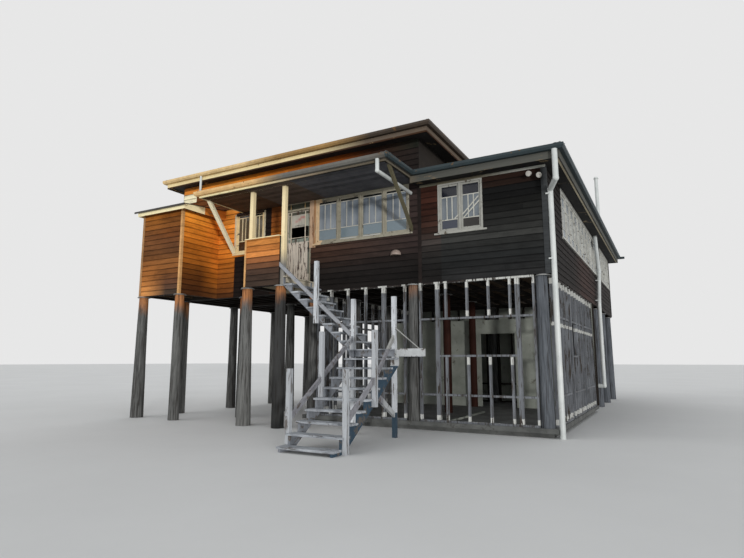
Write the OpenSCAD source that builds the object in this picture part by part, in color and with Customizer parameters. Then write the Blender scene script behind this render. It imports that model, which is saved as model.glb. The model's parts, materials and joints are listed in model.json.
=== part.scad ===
// High-set timber house on log stumps, with a two-flight outside stair and an open stud store below.
// Millimetres. Inside the modules X runs right along the front, Y into the house, Z up from the ground by
// the slab, and the front right corner of the main walls stands at X 0, Y 0.

/* [House body] */
// Width of the house across the front
house_w = 11500; // [11300:50:12500]
// Depth of the house from front wall to back wall
house_d = 13560; // [13300:20:15000]
// Width of the low wing on the right
wing_w = 3060; // [2980:20:3090]
// Height of the upper floor above the ground
floor_z = 3600; // [3500:20:3800]
// Height of the high walls above the upper floor
core_h = 3520; // [3300:20:3900]
// Height of the wing walls above the upper floor
wing_h = 2250; // [2230:10:2400]
// Thickness of the outer walls
wall_t = 120; // [115:5:150]

// How far the ground falls from the slab to the foot of the stair, the lowest point
ground_drop = 100; // [60:10:160]

/* [Floor frame] */
// Thickness of the floor boards
deck_t = 25; // [18:1:32]
// Depth of the joists
joist_d = 120; // [100:5:140]
// Width of a joist
joist_b = 50; // [38:1:60]
// Distance between joists
joist_gap = 450; // [400:10:600]
// Depth of the bearers
bearer_d = 70; // [60:5:90]
// Width of the bearers
bearer_b = 100; // [75:5:120]
// Thickness of the boards that hang below the walls, in front of the bearers
skirt_t = 25; // [18:1:30]

/* [Stumps] */
// Radius of a stump at its foot
stump_foot_r = 180; // [160:5:180]
// Radius of a stump at its head
stump_head_r = 145; // [120:5:150]
// Radius of the sheet metal cap on a stump
cap_r = 185; // [170:5:190]
// Thickness of the cap
cap_t = 3; // [2:1:6]
// Distance from the wall face to the middle of the front and back stumps
row_edge = 120; // [115:5:140]
// Distance from the wall face to the middle of the outer stumps at the sides
col_edge = 165; // [150:5:200]
// Distance of the middle column of stumps from the right corner
mid_col = 3300; // [3280:10:3340]
// Rows of stumps from front to back
stump_rows = 7; // [6:1:8]

/* [Front rooms] */
// Width of the closed box room at the left front
box_w = 1640; // [1500:20:1800]
// How far the box room and the porch stand out from the front wall
porch_d = 1450; // [1400:10:1600]
// Height of the box room above the upper floor
box_h = 2250; // [2150:10:2260]
// Distance between the box room and the porch
recess_w = 2500; // [2400:10:2560]
// Width of the porch
porch_w = 1220; // [1180:10:1400]
// Height of the porch half wall above the floor
half_wall_h = 1050; // [900:10:1100]
// Thickness of the porch half wall
half_wall_t = 50; // [40:5:80]
// Side of a square porch post
post_b = 105; // [90:5:120]

/* [Door] */
// Width of the door leaf opening between the jambs
door_w = 820; // [760:10:860]
// Height of the door opening under the transom
door_h = 2140; // [2040:10:2160]
// Height of the light over the door, between transom and head
fanlight_h = 160; // [120:10:200]
// Thickness of the door leaf
leaf_t = 40; // [35:1:45]
// Distance of the hinge side of the opening from the porch's left side
door_offset = 120; // [120:5:150]

/* [Windows] */
// Height of the sill of the front windows above the floor
band_sill = 1090; // [1000:10:1150]
// Distance of that row's right end from the right corner
band_right = 3340; // [3240:10:3500]
// Height of the front windows
band_h = 1260; // [1150:10:1300]
// Height of the sill of the wing windows above the floor
casement_sill = 960; // [900:10:1000]
// Height of the wing windows
casement_h = 1240; // [1150:10:1250]
// Width of the pair of casements in the wing front
casement_w = 1125; // [1000:5:1300]
// Distance of that pair from the right corner
casement_from_corner = 2570; // [2500:10:2650]
// Width of the window beside the porch
recess_window_w = 1100; // [900:10:1120]
// Distance between that window and the box room
recess_window_gap = 710; // [650:10:740]
// Width of a window frame member
frame_b = 50; // [40:2:60]
// Depth of a window frame
frame_d = 90; // [80:5:100]
// Width of a sash rim
rim_b = 45; // [35:1:50]
// Thickness of a sash
sash_t = 35; // [30:1:40]
// Thickness of the glass
glass_t = 4; // [3:1:6]

/* [Roofs] */
// Pitch of the main roof in degrees
main_pitch = 17; // [12:0.5:20]
// Pitch of the wing roof in degrees
wing_pitch = 10.8; // [8:0.2:12]
// Pitch of the porch canopy in degrees
canopy_pitch = 13.3; // [8:0.1:16]
// Thickness of sheet and battens together
roof_t = 40; // [30:2:60]
// Distance from the wall face to the back of the fascia
eave_reach = 360; // [300:10:400]
// Thickness of the fascia boards
fascia_t = 25; // [20:1:32]
// Depth of the main fascia
main_fascia_h = 180; // [150:5:220]
// Depth of the main fascia below its lining
main_drop = 50; // [0:5:80]
// Depth of the wing fascia above its soffit
wing_fascia_h = 230; // [200:5:260]
// Thickness of the soffit lining
soffit_t = 20; // [12:1:25]
// How far the sheets reach past the fascia
sheet_over = 40; // [30:1:50]
// How far the canopy fascia stands from the front wall
canopy_reach = 1710; // [1650:10:1800]
// Distance of the canopy's left fascia from the box room
canopy_gap = 935; // [850:5:1000]
// Distance of the canopy's right fascia from the right corner
canopy_right = 3115; // [3050:5:3150]
// Depth of the canopy's fascia
canopy_fascia_h = 130; // [110:5:160]
// Height of the canopy struts' feet above the upper floor
strut_foot_up = 1110; // [1105:5:1200]
// Width of the left strut, a wide board
left_strut_b = 100; // [60:5:120]
// Width of the right strut
right_strut_b = 65; // [50:5:90]
// How far the left strut's foot stands left of its head
left_strut_lean = 340; // [0:10:400]
// How far the right strut's foot stands left of its head
right_strut_lean = 90; // [0:10:100]

/* [Gutters and pipes] */
// Width of the gutters
gutter_w = 115; // [100:5:130]
// Depth of the gutters
gutter_h = 110; // [90:5:130]
// Thickness of the gutter sheet
gutter_t = 4; // [3:1:6]
// How far the back gutter runs past the side gutter
gutter_tail = 160; // [100:10:200]
// Radius of the rain pipes
pipe_r = 45; // [35:1:50]
// Radius of the pipe at the right corner
corner_pipe_r = 60; // [50:1:65]
// Radius of the vent stack
stack_r = 65; // [50:1:70]
// Height of the vent stack's top above the ground
stack_top = 8520; // [8000:20:8700]
// Height of the vent stack's level leg above the ground
stack_leg_z = 670; // [600:10:800]
// Distance of the stack's roof pipe from the back wall
stack_from_back = 3910; // [3600:10:4200]
// How far the roof pipe stands behind the stack's head under the eave
stack_step = 1700; // [1400:50:1900]
// How far the stack leans between its head and its socket
stack_lean = 600; // [400:50:800]
// Height of the socket over the floor
stack_socket_up = 1050; // [950:10:1150]
// Distance of the stack's lower leg behind the wall face
stack_leg_x = 600; // [500:10:700]

/* [Stair] */
// Height of the landing above the ground
landing_z = 1760; // [1700:10:1850]
// Risers in each flight
risers = 9; // [9:1:10]
// Going of the upper flight
upper_going = 237.5; // [230:2.5:245]
// Going of the lower flight
lower_going = 280; // [250:5:290]
// Depth of a tread
tread_d = 260; // [255:5:270]
// Thickness of a tread
tread_t = 38; // [32:1:45]
// Thickness of a string
string_t = 50; // [40:1:60]
// Clear distance between the upper strings
upper_clear = 1100; // [1000:10:1120]
// Clear distance between the lower strings
lower_clear = 1050; // [1000:10:1100]
// Side of a newel
newel_b = 90; // [80:2:100]
// Height of the two newels at the stair foot above the slab's ground
bottom_newel_top = 1360; // [1300:10:1420]
// Height of the middle newels' tops
middle_newel_top = 2100; // [2040:10:2160]
// How far the middle newels' feet hang above the slab's ground
middle_newel_low = 630; // [500:10:680]
// Height of the landing's newels above the landing
landing_newel_up = 1140; // [1100:10:1200]
// Height of the upper flight's newel foot above the landing
flight_newel_low = 620; // [560:10:640]
// Length of the upper flight's newel
flight_newel_len = 1490; // [1400:10:1560]
// Length of the landing along the front
landing_w = 1830; // [1800:10:1900]
// How far the landing's right newel stands left of the lower flight's right side
newel_inset = 205; // [180:5:230]
// Depth of the beams under the landing
landing_beam_d = 140; // [120:5:160]
// How far a lower tread reaches past its string
tread_over = 30; // [20:2:40]

/* [Lower store] */
// Thickness of the concrete slab
slab_t = 100; // [80:5:120]
// Distance of the store's left wall from the right corner
store_w = 6300; // [6200:20:6500]
// Width of a stud
stud_b = 45; // [35:1:50]
// Depth of a stud
stud_d = 90; // [70:5:100]
// Height of the low noggings above the ground
nogging_low = 700; // [600:10:800]
// Height of the high noggings above the ground
nogging_high = 2470; // [2400:10:2550]
// Height of the opening's sill in the store walls
store_sill = 1640; // [1500:10:1700]
// Gap between the light partition and the stumps in front of it
partition_gap = 10; // [5:5:40]
// Height of the light partition
partition_top = 2790; // [2600:10:2900]

/* [Hidden] */
$fn = 32;

// Heights
deck_z = floor_z - deck_t;
wall_z = deck_z - joist_d;
bearer_z = wall_z - bearer_d;
stump_top = bearer_z - cap_t;
core_top = floor_z + core_h;
wing_top = floor_z + wing_h;
box_top = floor_z + box_h;
main_eave = core_top + main_fascia_h;
wing_eave = wing_top + wing_fascia_h;

// The lowest point, where everything is carried down to
low = -ground_drop;

// Places along X
core_x = -wing_w;
left_x = -house_w;
box_x = left_x + box_w;
porch_x0 = box_x + recess_w;
porch_x1 = porch_x0 + porch_w;
canopy_left = box_x + canopy_gap;
store_x = -store_w;
fascia_out = eave_reach + fascia_t;

// Door and its opening in the wall
jamb_b = 60;
jamb_d = 110;
leaf_gap = 5;
latch_gap = 8;
floor_gap = 10;
door_x = porch_x0 + door_offset;
door_hole_x0 = door_x - jamb_b;
door_hole_x1 = door_x + door_w + jamb_b;
transom_b = 50;
head_b = 50;
door_head_z = floor_z + door_h + transom_b + fanlight_h + head_b;
hinge_r = 8;
pin_r = 4;
pin_play = 0.3;
plate_t = 3;
hinge_y = jamb_d + hinge_r + 1;
hinge_x = door_x + leaf_gap / 2;
hinge_len = 100;
hinge_heights = [250, 1050, 1850];

// Pipes
elbow = 6;
stack_x = stack_r + 55;
stack_y = house_d - stack_from_back;
stack_head_y = stack_y - stack_step;
stack_socket_y = stack_head_y + stack_lean;
stack_run_z = wing_eave - 95;
stack_hole_y = stack_head_y + stack_lean * (stack_run_z - wing_top) / (stack_run_z - floor_z - stack_socket_up);

// Stumps and slab
stump_cols = [left_x + col_edge, (left_x + col_edge + store_x) / 2, store_x, -mid_col, -col_edge];
row_step = (house_d - 2 * row_edge) / (stump_rows - 1);
store_rows = 3;
store_d = row_edge + store_rows * row_step;
slab_lip = 60;
slab_margin = 200;
footing_in = 120;
front_row_y = -porch_d + 100;
front_cols = [left_x + 60, box_x - 60, porch_x0 - 30, porch_x1 - 150];
joint_gap = 2;

// Stair
stair_x1 = porch_x1 + 40;
upper_rise = (floor_z - landing_z) / risers;
lower_rise = landing_z / risers;
landing_x0 = stair_x1 + (risers - 1) * upper_going;
landing_left = landing_x0 + 60;
landing_x1 = landing_left + landing_w;
landing_y0 = -porch_d - 150;
landing_beam_y = landing_y0 + 50;
landing_beam_z = landing_z - deck_t - landing_beam_d;
string_y0 = -porch_d;
upper_clear_y0 = string_y0 + string_t;
upper_clear_y1 = upper_clear_y0 + upper_clear;
upper_tread_y = [string_y0 - 20, upper_clear_y1 + 110];
lower_x0 = landing_left + newel_b;
lower_x1 = lower_x0 + 2 * string_t + lower_clear;
nosing = 20;
upper_slope = upper_rise / upper_going;
lower_slope = lower_rise / lower_going;
lower_string_drop = 380;
upper_string_drop = 270;
rail_up = 120;
rail_h = 110;
rail_t = 50;
bottom_newel_y = landing_y0 - (risers - 1) * lower_going + 40;
middle_newel_y = landing_y0 - 4 * lower_going - 30;
flight_newel_x = landing_x0 - 950;
flight_newel_z = landing_z + flight_newel_low;
landing_newel_x = lower_x1 - newel_inset;
landing_newel_y = landing_beam_y + string_t;
deck_x1 = landing_newel_x + newel_b;

// Windows as [place along the wall, height of the sill, width, height, sashes]
pier = 160;
band_x = door_hole_x1 + pier;
recess_window = [box_x + recess_window_gap, floor_z + band_sill, recess_window_w, band_h, 2];
band_window = [band_x, floor_z + band_sill, -band_right - band_x, band_h, 4];
casements = [-casement_from_corner, floor_z + casement_sill + 5, casement_w, casement_h, 2];
side_near = [1900, floor_z + casement_sill, 7800, casement_h, 11];
side_far = [10200, floor_z + casement_sill, 2950, casement_h, 4];
core_windows = [1500, 5600, 9900];
back_windows = [left_x + 1300, left_x + 4700];
plain_window_w = 1480;
back_wing_window = [core_x + 900, floor_z + casement_sill, 1125, casement_h, 2];
frame_proud = 15;
sash_y = 15;
sill_reach = 50;
sill_h = 40;
sill_ear = 90;

// Widest reach of the whole house, from which its middle is found
reach_left = left_x - fascia_out - gutter_w;
reach_right = fascia_out + gutter_w + gutter_tail;
reach_front = -porch_d - 150 - risers * lower_going;
reach_back = house_d + fascia_out + gutter_w;

old_wood = "#6f6a63";
dark_board = "#2c211c";
orange_board = "#8a4f25";
cream_paint = "#d8cdb2";
stair_grey = "#9aa0a6";
sheet_grey = "#5c6066";

module block(x, y, z)
    translate([x[0], y[0], z[0]]) cube([x[1] - x[0], y[1] - y[0], z[1] - z[0]]);

// A shape drawn in Y and Z, as thick as x says
module side_shape(x)
    translate([x[0], 0, 0]) rotate([90, 0, 90]) linear_extrude(x[1] - x[0]) children();

// A shape drawn in X and Z, as thick as y says
module front_shape(y)
    translate([0, y[1], 0]) rotate([90, 0, 0]) linear_extrude(y[1] - y[0]) children();

// Moves the house so that the middle of its footprint is at the origin and its lowest point at Z 0
module centred()
    translate([-(reach_left + reach_right) / 2, -(reach_front + reach_back) / 2, ground_drop]) children();

// The four walls: along X on the front, inwards along +Y
module on_front(x = 0, z = 0) translate([x, 0, z]) children();
module on_right(y = 0, z = 0) translate([0, y, z]) rotate(90) children();
module on_left(y = 0, z = 0) translate([left_x, y, z]) rotate(-90) children();
module on_back(x = 0, z = 0) translate([x, house_d, z]) rotate(180) children();

// Window parts
function sash_w(w, n) = (w - (n + 1) * frame_b) / n;
function sash_x(i, w, n) = frame_b + i * (sash_w(w, n) + frame_b);

module window_hole(spec)
    block([0, spec[2]], [-1, wall_t + 1], [0, spec[3]]);

module window_frame(spec) {
    w = spec[2];
    h = spec[3];
    n = spec[4];
    difference() {
        block([0, w], [-frame_proud, frame_d], [0, h]);
        for (i = [0:n - 1]) {
            x = [sash_x(i, w, n), sash_x(i, w, n) + sash_w(w, n)];
            block(x, [-frame_proud - 1, sash_y], [frame_b, h - frame_b]);
            block(x, [sash_y + sash_t, frame_d + 1], [frame_b, h - frame_b]);
            block([x[0] + rim_b, x[1] - rim_b], [-frame_proud - 1, frame_d + 1],
                [frame_b + rim_b, h - frame_b - rim_b]);
        }
    }
    block([-sill_ear, w + sill_ear], [-sill_reach, 0], [-sill_h, 0]);
    block([0, w], [-sill_reach, -frame_proud], [0, frame_proud]);
}

module window_panes(spec) {
    w = spec[2];
    n = spec[4];
    y = sash_y + (sash_t - glass_t) / 2;
    for (i = [0:n - 1])
        block([sash_x(i, w, n) + rim_b, sash_x(i, w, n) + sash_w(w, n) - rim_b], [y, y + glass_t],
            [frame_b + rim_b, spec[3] - frame_b - rim_b]);
}

module each_front_window()
    for (spec = [recess_window, band_window, casements]) {
        $spec = spec;
        on_front(spec[0], spec[1]) children();
    }

module each_right_window()
    for (spec = [side_near, side_far]) {
        $spec = spec;
        on_right(spec[0], spec[1]) children();
    }

module each_left_window()
    for (y = core_windows) {
        $spec = [y, floor_z + band_sill, plain_window_w, band_h, 2];
        on_left(y + plain_window_w, floor_z + band_sill) children();
    }

module each_back_window() {
    for (x = back_windows) {
        $spec = [x, floor_z + band_sill, plain_window_w, band_h, 2];
        on_back(x + plain_window_w, floor_z + band_sill) children();
    }
    $spec = back_wing_window;
    on_back(back_wing_window[0] + back_wing_window[2], back_wing_window[1]) children();
}

// Roof parts: the outline across a roof that rises from its sloping sides
function roof_outline(a, b, z, base, k, slope_a, slope_b) =
    slope_a && slope_b ? [[a, base], [b, base], [b, z], [(a + b) / 2, z + (b - a) / 2 * k], [a, z]]
    : slope_a ? [[a, base], [b, base], [b, z + (b - a) * k], [a, z]]
    : slope_b ? [[a, base], [b, base], [b, z], [a, z + (b - a) * k]]
    : [[a, base], [b, base], [b, z + (b - a) * k], [a, z + (b - a) * k]];

module roof_body(x, y, z, base, k, sides)
    intersection() {
        front_shape(y) polygon(roof_outline(x[0], x[1], z, base, k, sides[0], sides[1]));
        side_shape(x) polygon(roof_outline(y[0], y[1], z, base, k, sides[2], sides[3]));
    }

// sides says which of left, right, front and back slope
module roof_shell(x, y, z, pitch, sides)
    difference() {
        roof_body(x, y, z + roof_t, z, tan(pitch), sides);
        roof_body(x, y, z, z - 10, tan(pitch), sides);
    }

// One side's eave, along X from a to b at the wall face: lining over the wall and fascia in front
module eave_side(a, b, z, fascia_z, drop, lining_a, lining_b) {
    block([a + lining_a, b - lining_b], [-eave_reach, wall_t], [z, z + soffit_t]);
    block([a, b], [-fascia_out, -eave_reach], [z - drop, fascia_z]);
}

// One gutter along X from a to b against a fascia at y 0, with the corner cuts at its ends
module gutter_run(a, b, cut_a, cut_b)
    intersection() {
        side_shape([a - gutter_w, b + gutter_w]) gutter_outline();
        linear_extrude(4 * gutter_h, center = true)
            polygon([[a + joint_gap / 2, 0], [b - joint_gap / 2, 0],
                [b - joint_gap / 2 + cut_b * gutter_w, -gutter_w], [a + joint_gap / 2 - cut_a * gutter_w, -gutter_w]]);
    }

module gutter_outline() {
    lip = 30;
    bead = 14;
    heel = gutter_w * 0.75;
    knee = gutter_h * 0.55;
    back = -25;
    polygon([[0, back], [0, -gutter_h + lip], [-heel, -gutter_h + lip], [-gutter_w, -knee + lip], [-gutter_w, lip],
        [-gutter_w + bead, lip], [-gutter_w + bead, lip - gutter_t], [-gutter_w + gutter_t, lip - gutter_t],
        [-gutter_w + gutter_t, -knee + lip + gutter_t / 2], [-heel + gutter_t / 2, -gutter_h + lip + gutter_t],
        [-gutter_t, -gutter_h + lip + gutter_t], [-gutter_t, back]]);
}

// A pipe through the given points, with a swollen elbow at each bend
module pipe_run(points, r) {
    for (i = [0:len(points) - 2])
        pipe_leg(points[i], points[i + 1], r);
    if (len(points) > 2)
        for (i = [1:len(points) - 2])
            translate(points[i]) sphere(r + elbow);
}

module pipe_leg(a, b, r) {
    d = b - a;
    translate(a) rotate([0, acos(d[2] / norm(d)), atan2(d[1], d[0])]) cylinder(h = norm(d), r = r);
}

// Stump heads, caps and everything on them
function row_y(i) = row_edge + i * row_step;
function foot_z(x, i) = x >= store_x && i <= store_rows ? slab_t : low;

module stump(foot)
    translate([0, 0, foot]) cylinder(h = stump_top - foot, r1 = stump_foot_r, r2 = stump_head_r);

module each_stump() {
    for (x = stump_cols, i = [0:stump_rows - 1]) {
        $foot = foot_z(x, i);
        translate([x, row_y(i), 0]) children();
    }
    for (x = front_cols) {
        $foot = low;
        translate([x, front_row_y, 0]) children();
    }
}

module lower_slab()
    color("#77736b") centred()
        for (level = [[0, 0, slab_t], [footing_in, low, 0]])
            block([store_x - slab_margin + level[0], slab_lip / 2 - level[0]],
                [level[0] - slab_lip, store_d + slab_margin - level[0]], [level[1], level[2]]);

module stumps()
    color(old_wood) centred() each_stump() stump($foot);

module stump_caps()
    color("#a7a9a8") centred() each_stump() translate([0, 0, stump_top]) cylinder(h = cap_t, r = cap_r);

module bearers()
    color(old_wood) centred() {
        for (i = [0:stump_rows - 1])
            block([left_x + skirt_t, -skirt_t], [row_y(i) - bearer_b / 2, row_y(i) + bearer_b / 2], [bearer_z, wall_z]);
        for (x = [[left_x + skirt_t, box_x - skirt_t], [porch_x0 + half_wall_t + post_b, porch_x1 - post_b]])
            block(x, [front_row_y - bearer_b / 2, front_row_y + bearer_b / 2], [bearer_z, wall_z]);
    }

module joists() {
    run = house_w - 2 * wall_t - joist_b;
    count = floor(run / joist_gap);
    color(old_wood) centred()
        for (i = [0:count])
            translate([left_x + wall_t + i * run / count, 0, 0])
                block([0, joist_b], [wall_t, house_d - wall_t], [wall_z, deck_z]);
}

module upper_floor()
    color("#7a6248") centred()
        block([left_x + wall_t, -wall_t], [wall_t, house_d - wall_t], [deck_z, floor_z]);

// A floor with its joists, inside the given outline
module small_floor(x, y) {
    block(x, y, [deck_z, floor_z]);
    for (i = [0:3]) {
        at = x[0] + i * (x[1] - x[0] - joist_b) / 3;
        block([at, at + joist_b], y, [wall_z, deck_z]);
    }
    block(x, [y[0], y[0] + joist_b], [wall_z, deck_z]);
}

module front_floors()
    color("#7a6248") centred() {
        small_floor([left_x + wall_t, box_x - wall_t], [-porch_d + wall_t, 0]);
        difference() {
            union() {
                small_floor([porch_x0 + half_wall_t, porch_x1], [-porch_d, 0]);
                block([porch_x1, stair_x1], [string_y0, upper_tread_y[1]], [deck_z, floor_z]);
            }
            for (x = post_places())
                block([x, x + post_b], [-porch_d - 1, -porch_d + post_b], [wall_z - 1, floor_z + 1]);
        }
    }

// Walls, with the boards that hang below them in front of the bearers
module skirt(x, y)
    block(x, y, [bearer_z, wall_z]);

module front_wall_left()
    color(dark_board) centred() {
        difference() {
            block([left_x, door_hole_x0], [0, wall_t], [wall_z, core_top]);
            on_front(recess_window[0], recess_window[1]) window_hole(recess_window);
            block([left_x + 2 * wall_t, box_x - 2 * wall_t], [-1, wall_t + 1], [floor_z, box_top - 300]);
        }
        skirt([left_x, door_hole_x0], [0, skirt_t]);
    }

module front_wall_over_door()
    color(dark_board) centred()
        block([door_hole_x0, door_hole_x1], [0, wall_t], [door_head_z, core_top]);

module front_wall_centre()
    color(dark_board) centred() {
        difference() {
            block([door_hole_x1, core_x], [0, wall_t], [wall_z, core_top]);
            on_front(band_window[0], band_window[1]) window_hole(band_window);
        }
        skirt([door_hole_x1, core_x], [0, skirt_t]);
    }

module front_wall_wing()
    color(dark_board) centred() {
        difference() {
            block([core_x, 0], [0, wall_t], [wall_z, wing_top]);
            on_front(casements[0], casements[1]) window_hole(casements);
        }
        skirt([core_x, 0], [0, skirt_t]);
    }

module left_wall()
    color(dark_board) centred() {
        difference() {
            block([left_x, left_x + wall_t], [wall_t, house_d - wall_t], [wall_z, core_top]);
            each_left_window() window_hole($spec);
        }
        skirt([left_x, left_x + skirt_t], [skirt_t, house_d - skirt_t]);
    }

module right_wall()
    color(dark_board) centred() {
        difference() {
            block([-wall_t, 0], [wall_t, house_d - wall_t], [wall_z, wing_top]);
            each_right_window() window_hole($spec);
        }
        skirt([-skirt_t, 0], [skirt_t, house_d - skirt_t]);
    }

module back_wall()
    color(dark_board) centred() {
        difference() {
            block([left_x, core_x], [house_d - wall_t, house_d], [wall_z, core_top]);
            each_back_window() window_hole($spec);
        }
        skirt([left_x, core_x], [house_d - skirt_t, house_d]);
    }

module back_wall_wing()
    color(dark_board) centred() {
        difference() {
            block([core_x, 0], [house_d - wall_t, house_d], [wall_z, wing_top]);
            each_back_window() window_hole($spec);
        }
        skirt([core_x, 0], [house_d - skirt_t, house_d]);
    }

// The high wall's strip above the wing roof
module wing_header_wall()
    color(dark_board) centred()
        block([core_x - wall_t, core_x], [wall_t, house_d - wall_t], [wing_top, core_top]);

module box_front_wall()
    color(orange_board) centred() {
        block([left_x, box_x], [-porch_d, -porch_d + wall_t], [wall_z, box_top]);
        skirt([left_x, box_x], [-porch_d, -porch_d + skirt_t]);
    }

module box_end_walls()
    color(orange_board) centred()
        for (end = [[left_x, left_x], [box_x - wall_t, box_x - skirt_t]]) {
            block([end[0], end[0] + wall_t], [-porch_d + wall_t, 0], [wall_z, box_top]);
            skirt([end[1], end[1] + skirt_t], [-porch_d + skirt_t, 0]);
        }

// Porch half wall in front and at the left, with a rail on top
module porch_half_walls() {
    cap = 25;
    z = [bearer_z, floor_z + half_wall_h - cap];
    x1 = porch_x1 - post_b;
    color(orange_board) centred() {
        block([porch_x0, x1], [-porch_d - half_wall_t, -porch_d], z);
        block([porch_x0, porch_x0 + half_wall_t], [-porch_d, 0], z);
        block([porch_x0 - 10, x1], [-porch_d - half_wall_t - 15, -porch_d], [z[1], z[1] + cap]);
        block([porch_x0 - 10, porch_x0 + half_wall_t], [-porch_d, 0], [z[1], z[1] + cap]);
    }
}

// Roofs
module main_roof()
    color(sheet_grey) centred()
        roof_shell([left_x - fascia_out - sheet_over, core_x + fascia_out + sheet_over],
            [-fascia_out - sheet_over, house_d + fascia_out + sheet_over],
            main_eave - sheet_over * tan(main_pitch), main_pitch, [true, true, true, true]);

module wing_roof()
    color(sheet_grey) centred() difference() {
        roof_shell([core_x, fascia_out + sheet_over], [-fascia_out - sheet_over, house_d + fascia_out + sheet_over],
            wing_eave - sheet_over * tan(wing_pitch), wing_pitch, [false, true, true, true]);
        translate([stack_x, stack_y, 0]) cylinder(h = stack_top, r = stack_r + 5);
    }

canopy_x = [canopy_left - sheet_over, -canopy_right + sheet_over];
canopy_y = [-canopy_reach - fascia_t - sheet_over, 0];
canopy_low = wing_eave - sheet_over * tan(canopy_pitch);

module canopy_roof()
    color(sheet_grey) centred()
        roof_shell(canopy_x, canopy_y, canopy_low, canopy_pitch, [true, true, true, false]);

// Low roof of the box room: fascia, lining and sheet in one folded form, open over the room
module box_roof() {
    x = [left_x - 90, box_x + 250];
    y0 = -porch_d - 180;
    rise = 170;
    front = 75;
    low_edge = box_top - 55;
    color(cream_paint) centred() difference() {
        side_shape(x) polygon([[y0, low_edge], [0, low_edge], [0, box_top + front + rise], [y0, box_top + front]]);
        block([x[0] + fascia_t, x[1] - fascia_t], [y0 + fascia_t, 1], [low_edge - 1, box_top]);
        side_shape([x[0] + fascia_t, x[1] - fascia_t])
            polygon([[y0 + fascia_t, box_top + soffit_t], [-fascia_t, box_top + soffit_t],
                [-fascia_t, box_top + front + rise - roof_t], [y0 + fascia_t, box_top + front - roof_t]]);
        block([left_x + wall_t, box_x - wall_t], [-porch_d + wall_t, -fascia_t], [box_top - 1, box_top + soffit_t + 1]);
    }
}

module main_eaves()
    color(cream_paint) centred() {
        x = [left_x - fascia_out, core_x + fascia_out];
        side = fascia_t + joint_gap;
        eave_side(x[0], x[1], core_top, main_eave, main_drop, side, side);
        translate([0, house_d, 0]) rotate(180)
            eave_side(-x[1], -x[0], core_top, main_eave, main_drop, side, side);
        on_left() translate([0, 0, core_top])
            eave_side(-house_d - eave_reach + joint_gap, eave_reach - joint_gap, 0, main_fascia_h, main_drop,
                eave_reach + wall_t, eave_reach + wall_t);
        translate([core_x, 0, core_top]) rotate(90)
            eave_side(-eave_reach + joint_gap, house_d + eave_reach - joint_gap, 0, main_fascia_h, main_drop,
                eave_reach + wall_t, eave_reach + wall_t);
    }

// Wing eaves on three sides, and the canopy fascia on its three sides
module lower_eaves() {
    drop = 20;
    fascia_low = wing_eave - canopy_fascia_h;
    canopy_out = canopy_reach + fascia_t;
    canopy_edge = -canopy_right + sheet_over;
    color(cream_paint) centred() {
        block([core_x, eave_reach - joint_gap], [-eave_reach, wall_t], [wing_top, wing_top + soffit_t]);
        block([-canopy_right - fascia_t, core_x], [-eave_reach, 0], [wing_top, wing_top + soffit_t]);
        block([-canopy_right - fascia_t, canopy_edge], [-fascia_out, -eave_reach], [wing_top - drop, canopy_low]);
        block([canopy_edge, fascia_out], [-fascia_out, -eave_reach], [wing_top - drop, wing_eave]);
        block([core_x, eave_reach - joint_gap], [house_d - wall_t, house_d + eave_reach],
            [wing_top, wing_top + soffit_t]);
        block([core_x, fascia_out], [house_d + eave_reach, house_d + fascia_out], [wing_top - drop, wing_eave]);
        difference() {
            translate([0, 0, wing_top]) rotate(90)
                eave_side(-eave_reach + joint_gap, house_d + eave_reach - joint_gap, 0, wing_fascia_h, drop,
                    eave_reach + wall_t, eave_reach + wall_t);
            translate([stack_x, stack_hole_y, 0]) cylinder(h = stack_top, r = stack_r + 15);
        }
        block([canopy_left, -canopy_right], [-canopy_out, -canopy_reach], [fascia_low, wing_eave]);
        block([canopy_left, canopy_left + fascia_t], [-canopy_reach + joint_gap, 0], [fascia_low, wing_eave]);
        block([-canopy_right - fascia_t, -canopy_right], [-canopy_reach + joint_gap, -fascia_out - joint_gap],
            [fascia_low, wing_eave]);
    }
}

module gutters() {
    canopy_out = canopy_reach + fascia_t;
    color("#8d8f8c") centred() {
        translate([0, -fascia_out, main_eave])
            gutter_run(left_x - fascia_out, core_x + fascia_out, 1, 1);
        translate([0, house_d + fascia_out, main_eave]) rotate(180)
            gutter_run(-core_x - fascia_out, -left_x + fascia_out, 1, 1);
        on_left() translate([0, -fascia_out, main_eave])
            gutter_run(-house_d - fascia_out, fascia_out, 1, 1);
        translate([core_x + fascia_out, 0, main_eave]) rotate(90)
            gutter_run(-fascia_out, house_d + fascia_out, 1, 1);
        translate([0, -fascia_out, wing_eave])
            gutter_run(-canopy_right, fascia_out, -1, 1);
        translate([fascia_out, 0, wing_eave]) rotate(90)
            gutter_run(-fascia_out, house_d + fascia_out - joint_gap, 1, 0);
        translate([0, house_d + fascia_out, wing_eave]) rotate(180)
            gutter_run(-reach_right - joint_gap / 2, -core_x, 0, 0);
        translate([0, -canopy_out, wing_eave])
            gutter_run(canopy_left, -canopy_right, 1, 1);
        translate([canopy_left, 0, wing_eave]) rotate(-90)
            gutter_run(0, canopy_out, 0, 1);
        translate([-canopy_right, 0, wing_eave]) rotate(90)
            gutter_run(-canopy_out, -fascia_out, 1, -1);
    }
}

// Porch
function post_places() = [porch_x0 + half_wall_t, porch_x1 - post_b];
beam_z = wing_eave - canopy_fascia_h;
beam_y = [-porch_d - 50, -porch_d + 50];

module porch_posts()
    color(cream_paint) centred()
        for (x = post_places())
            block([x, x + post_b], [-porch_d, -porch_d + post_b], [bearer_z, beam_z]);

module canopy_beam()
    color(cream_paint) centred() intersection() {
        block([canopy_left + fascia_t, -canopy_right - fascia_t], beam_y, [beam_z, beam_z + 1000]);
        roof_body(canopy_x, canopy_y, canopy_low, beam_z - 100, tan(canopy_pitch), [true, true, true, false]);
    }

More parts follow.
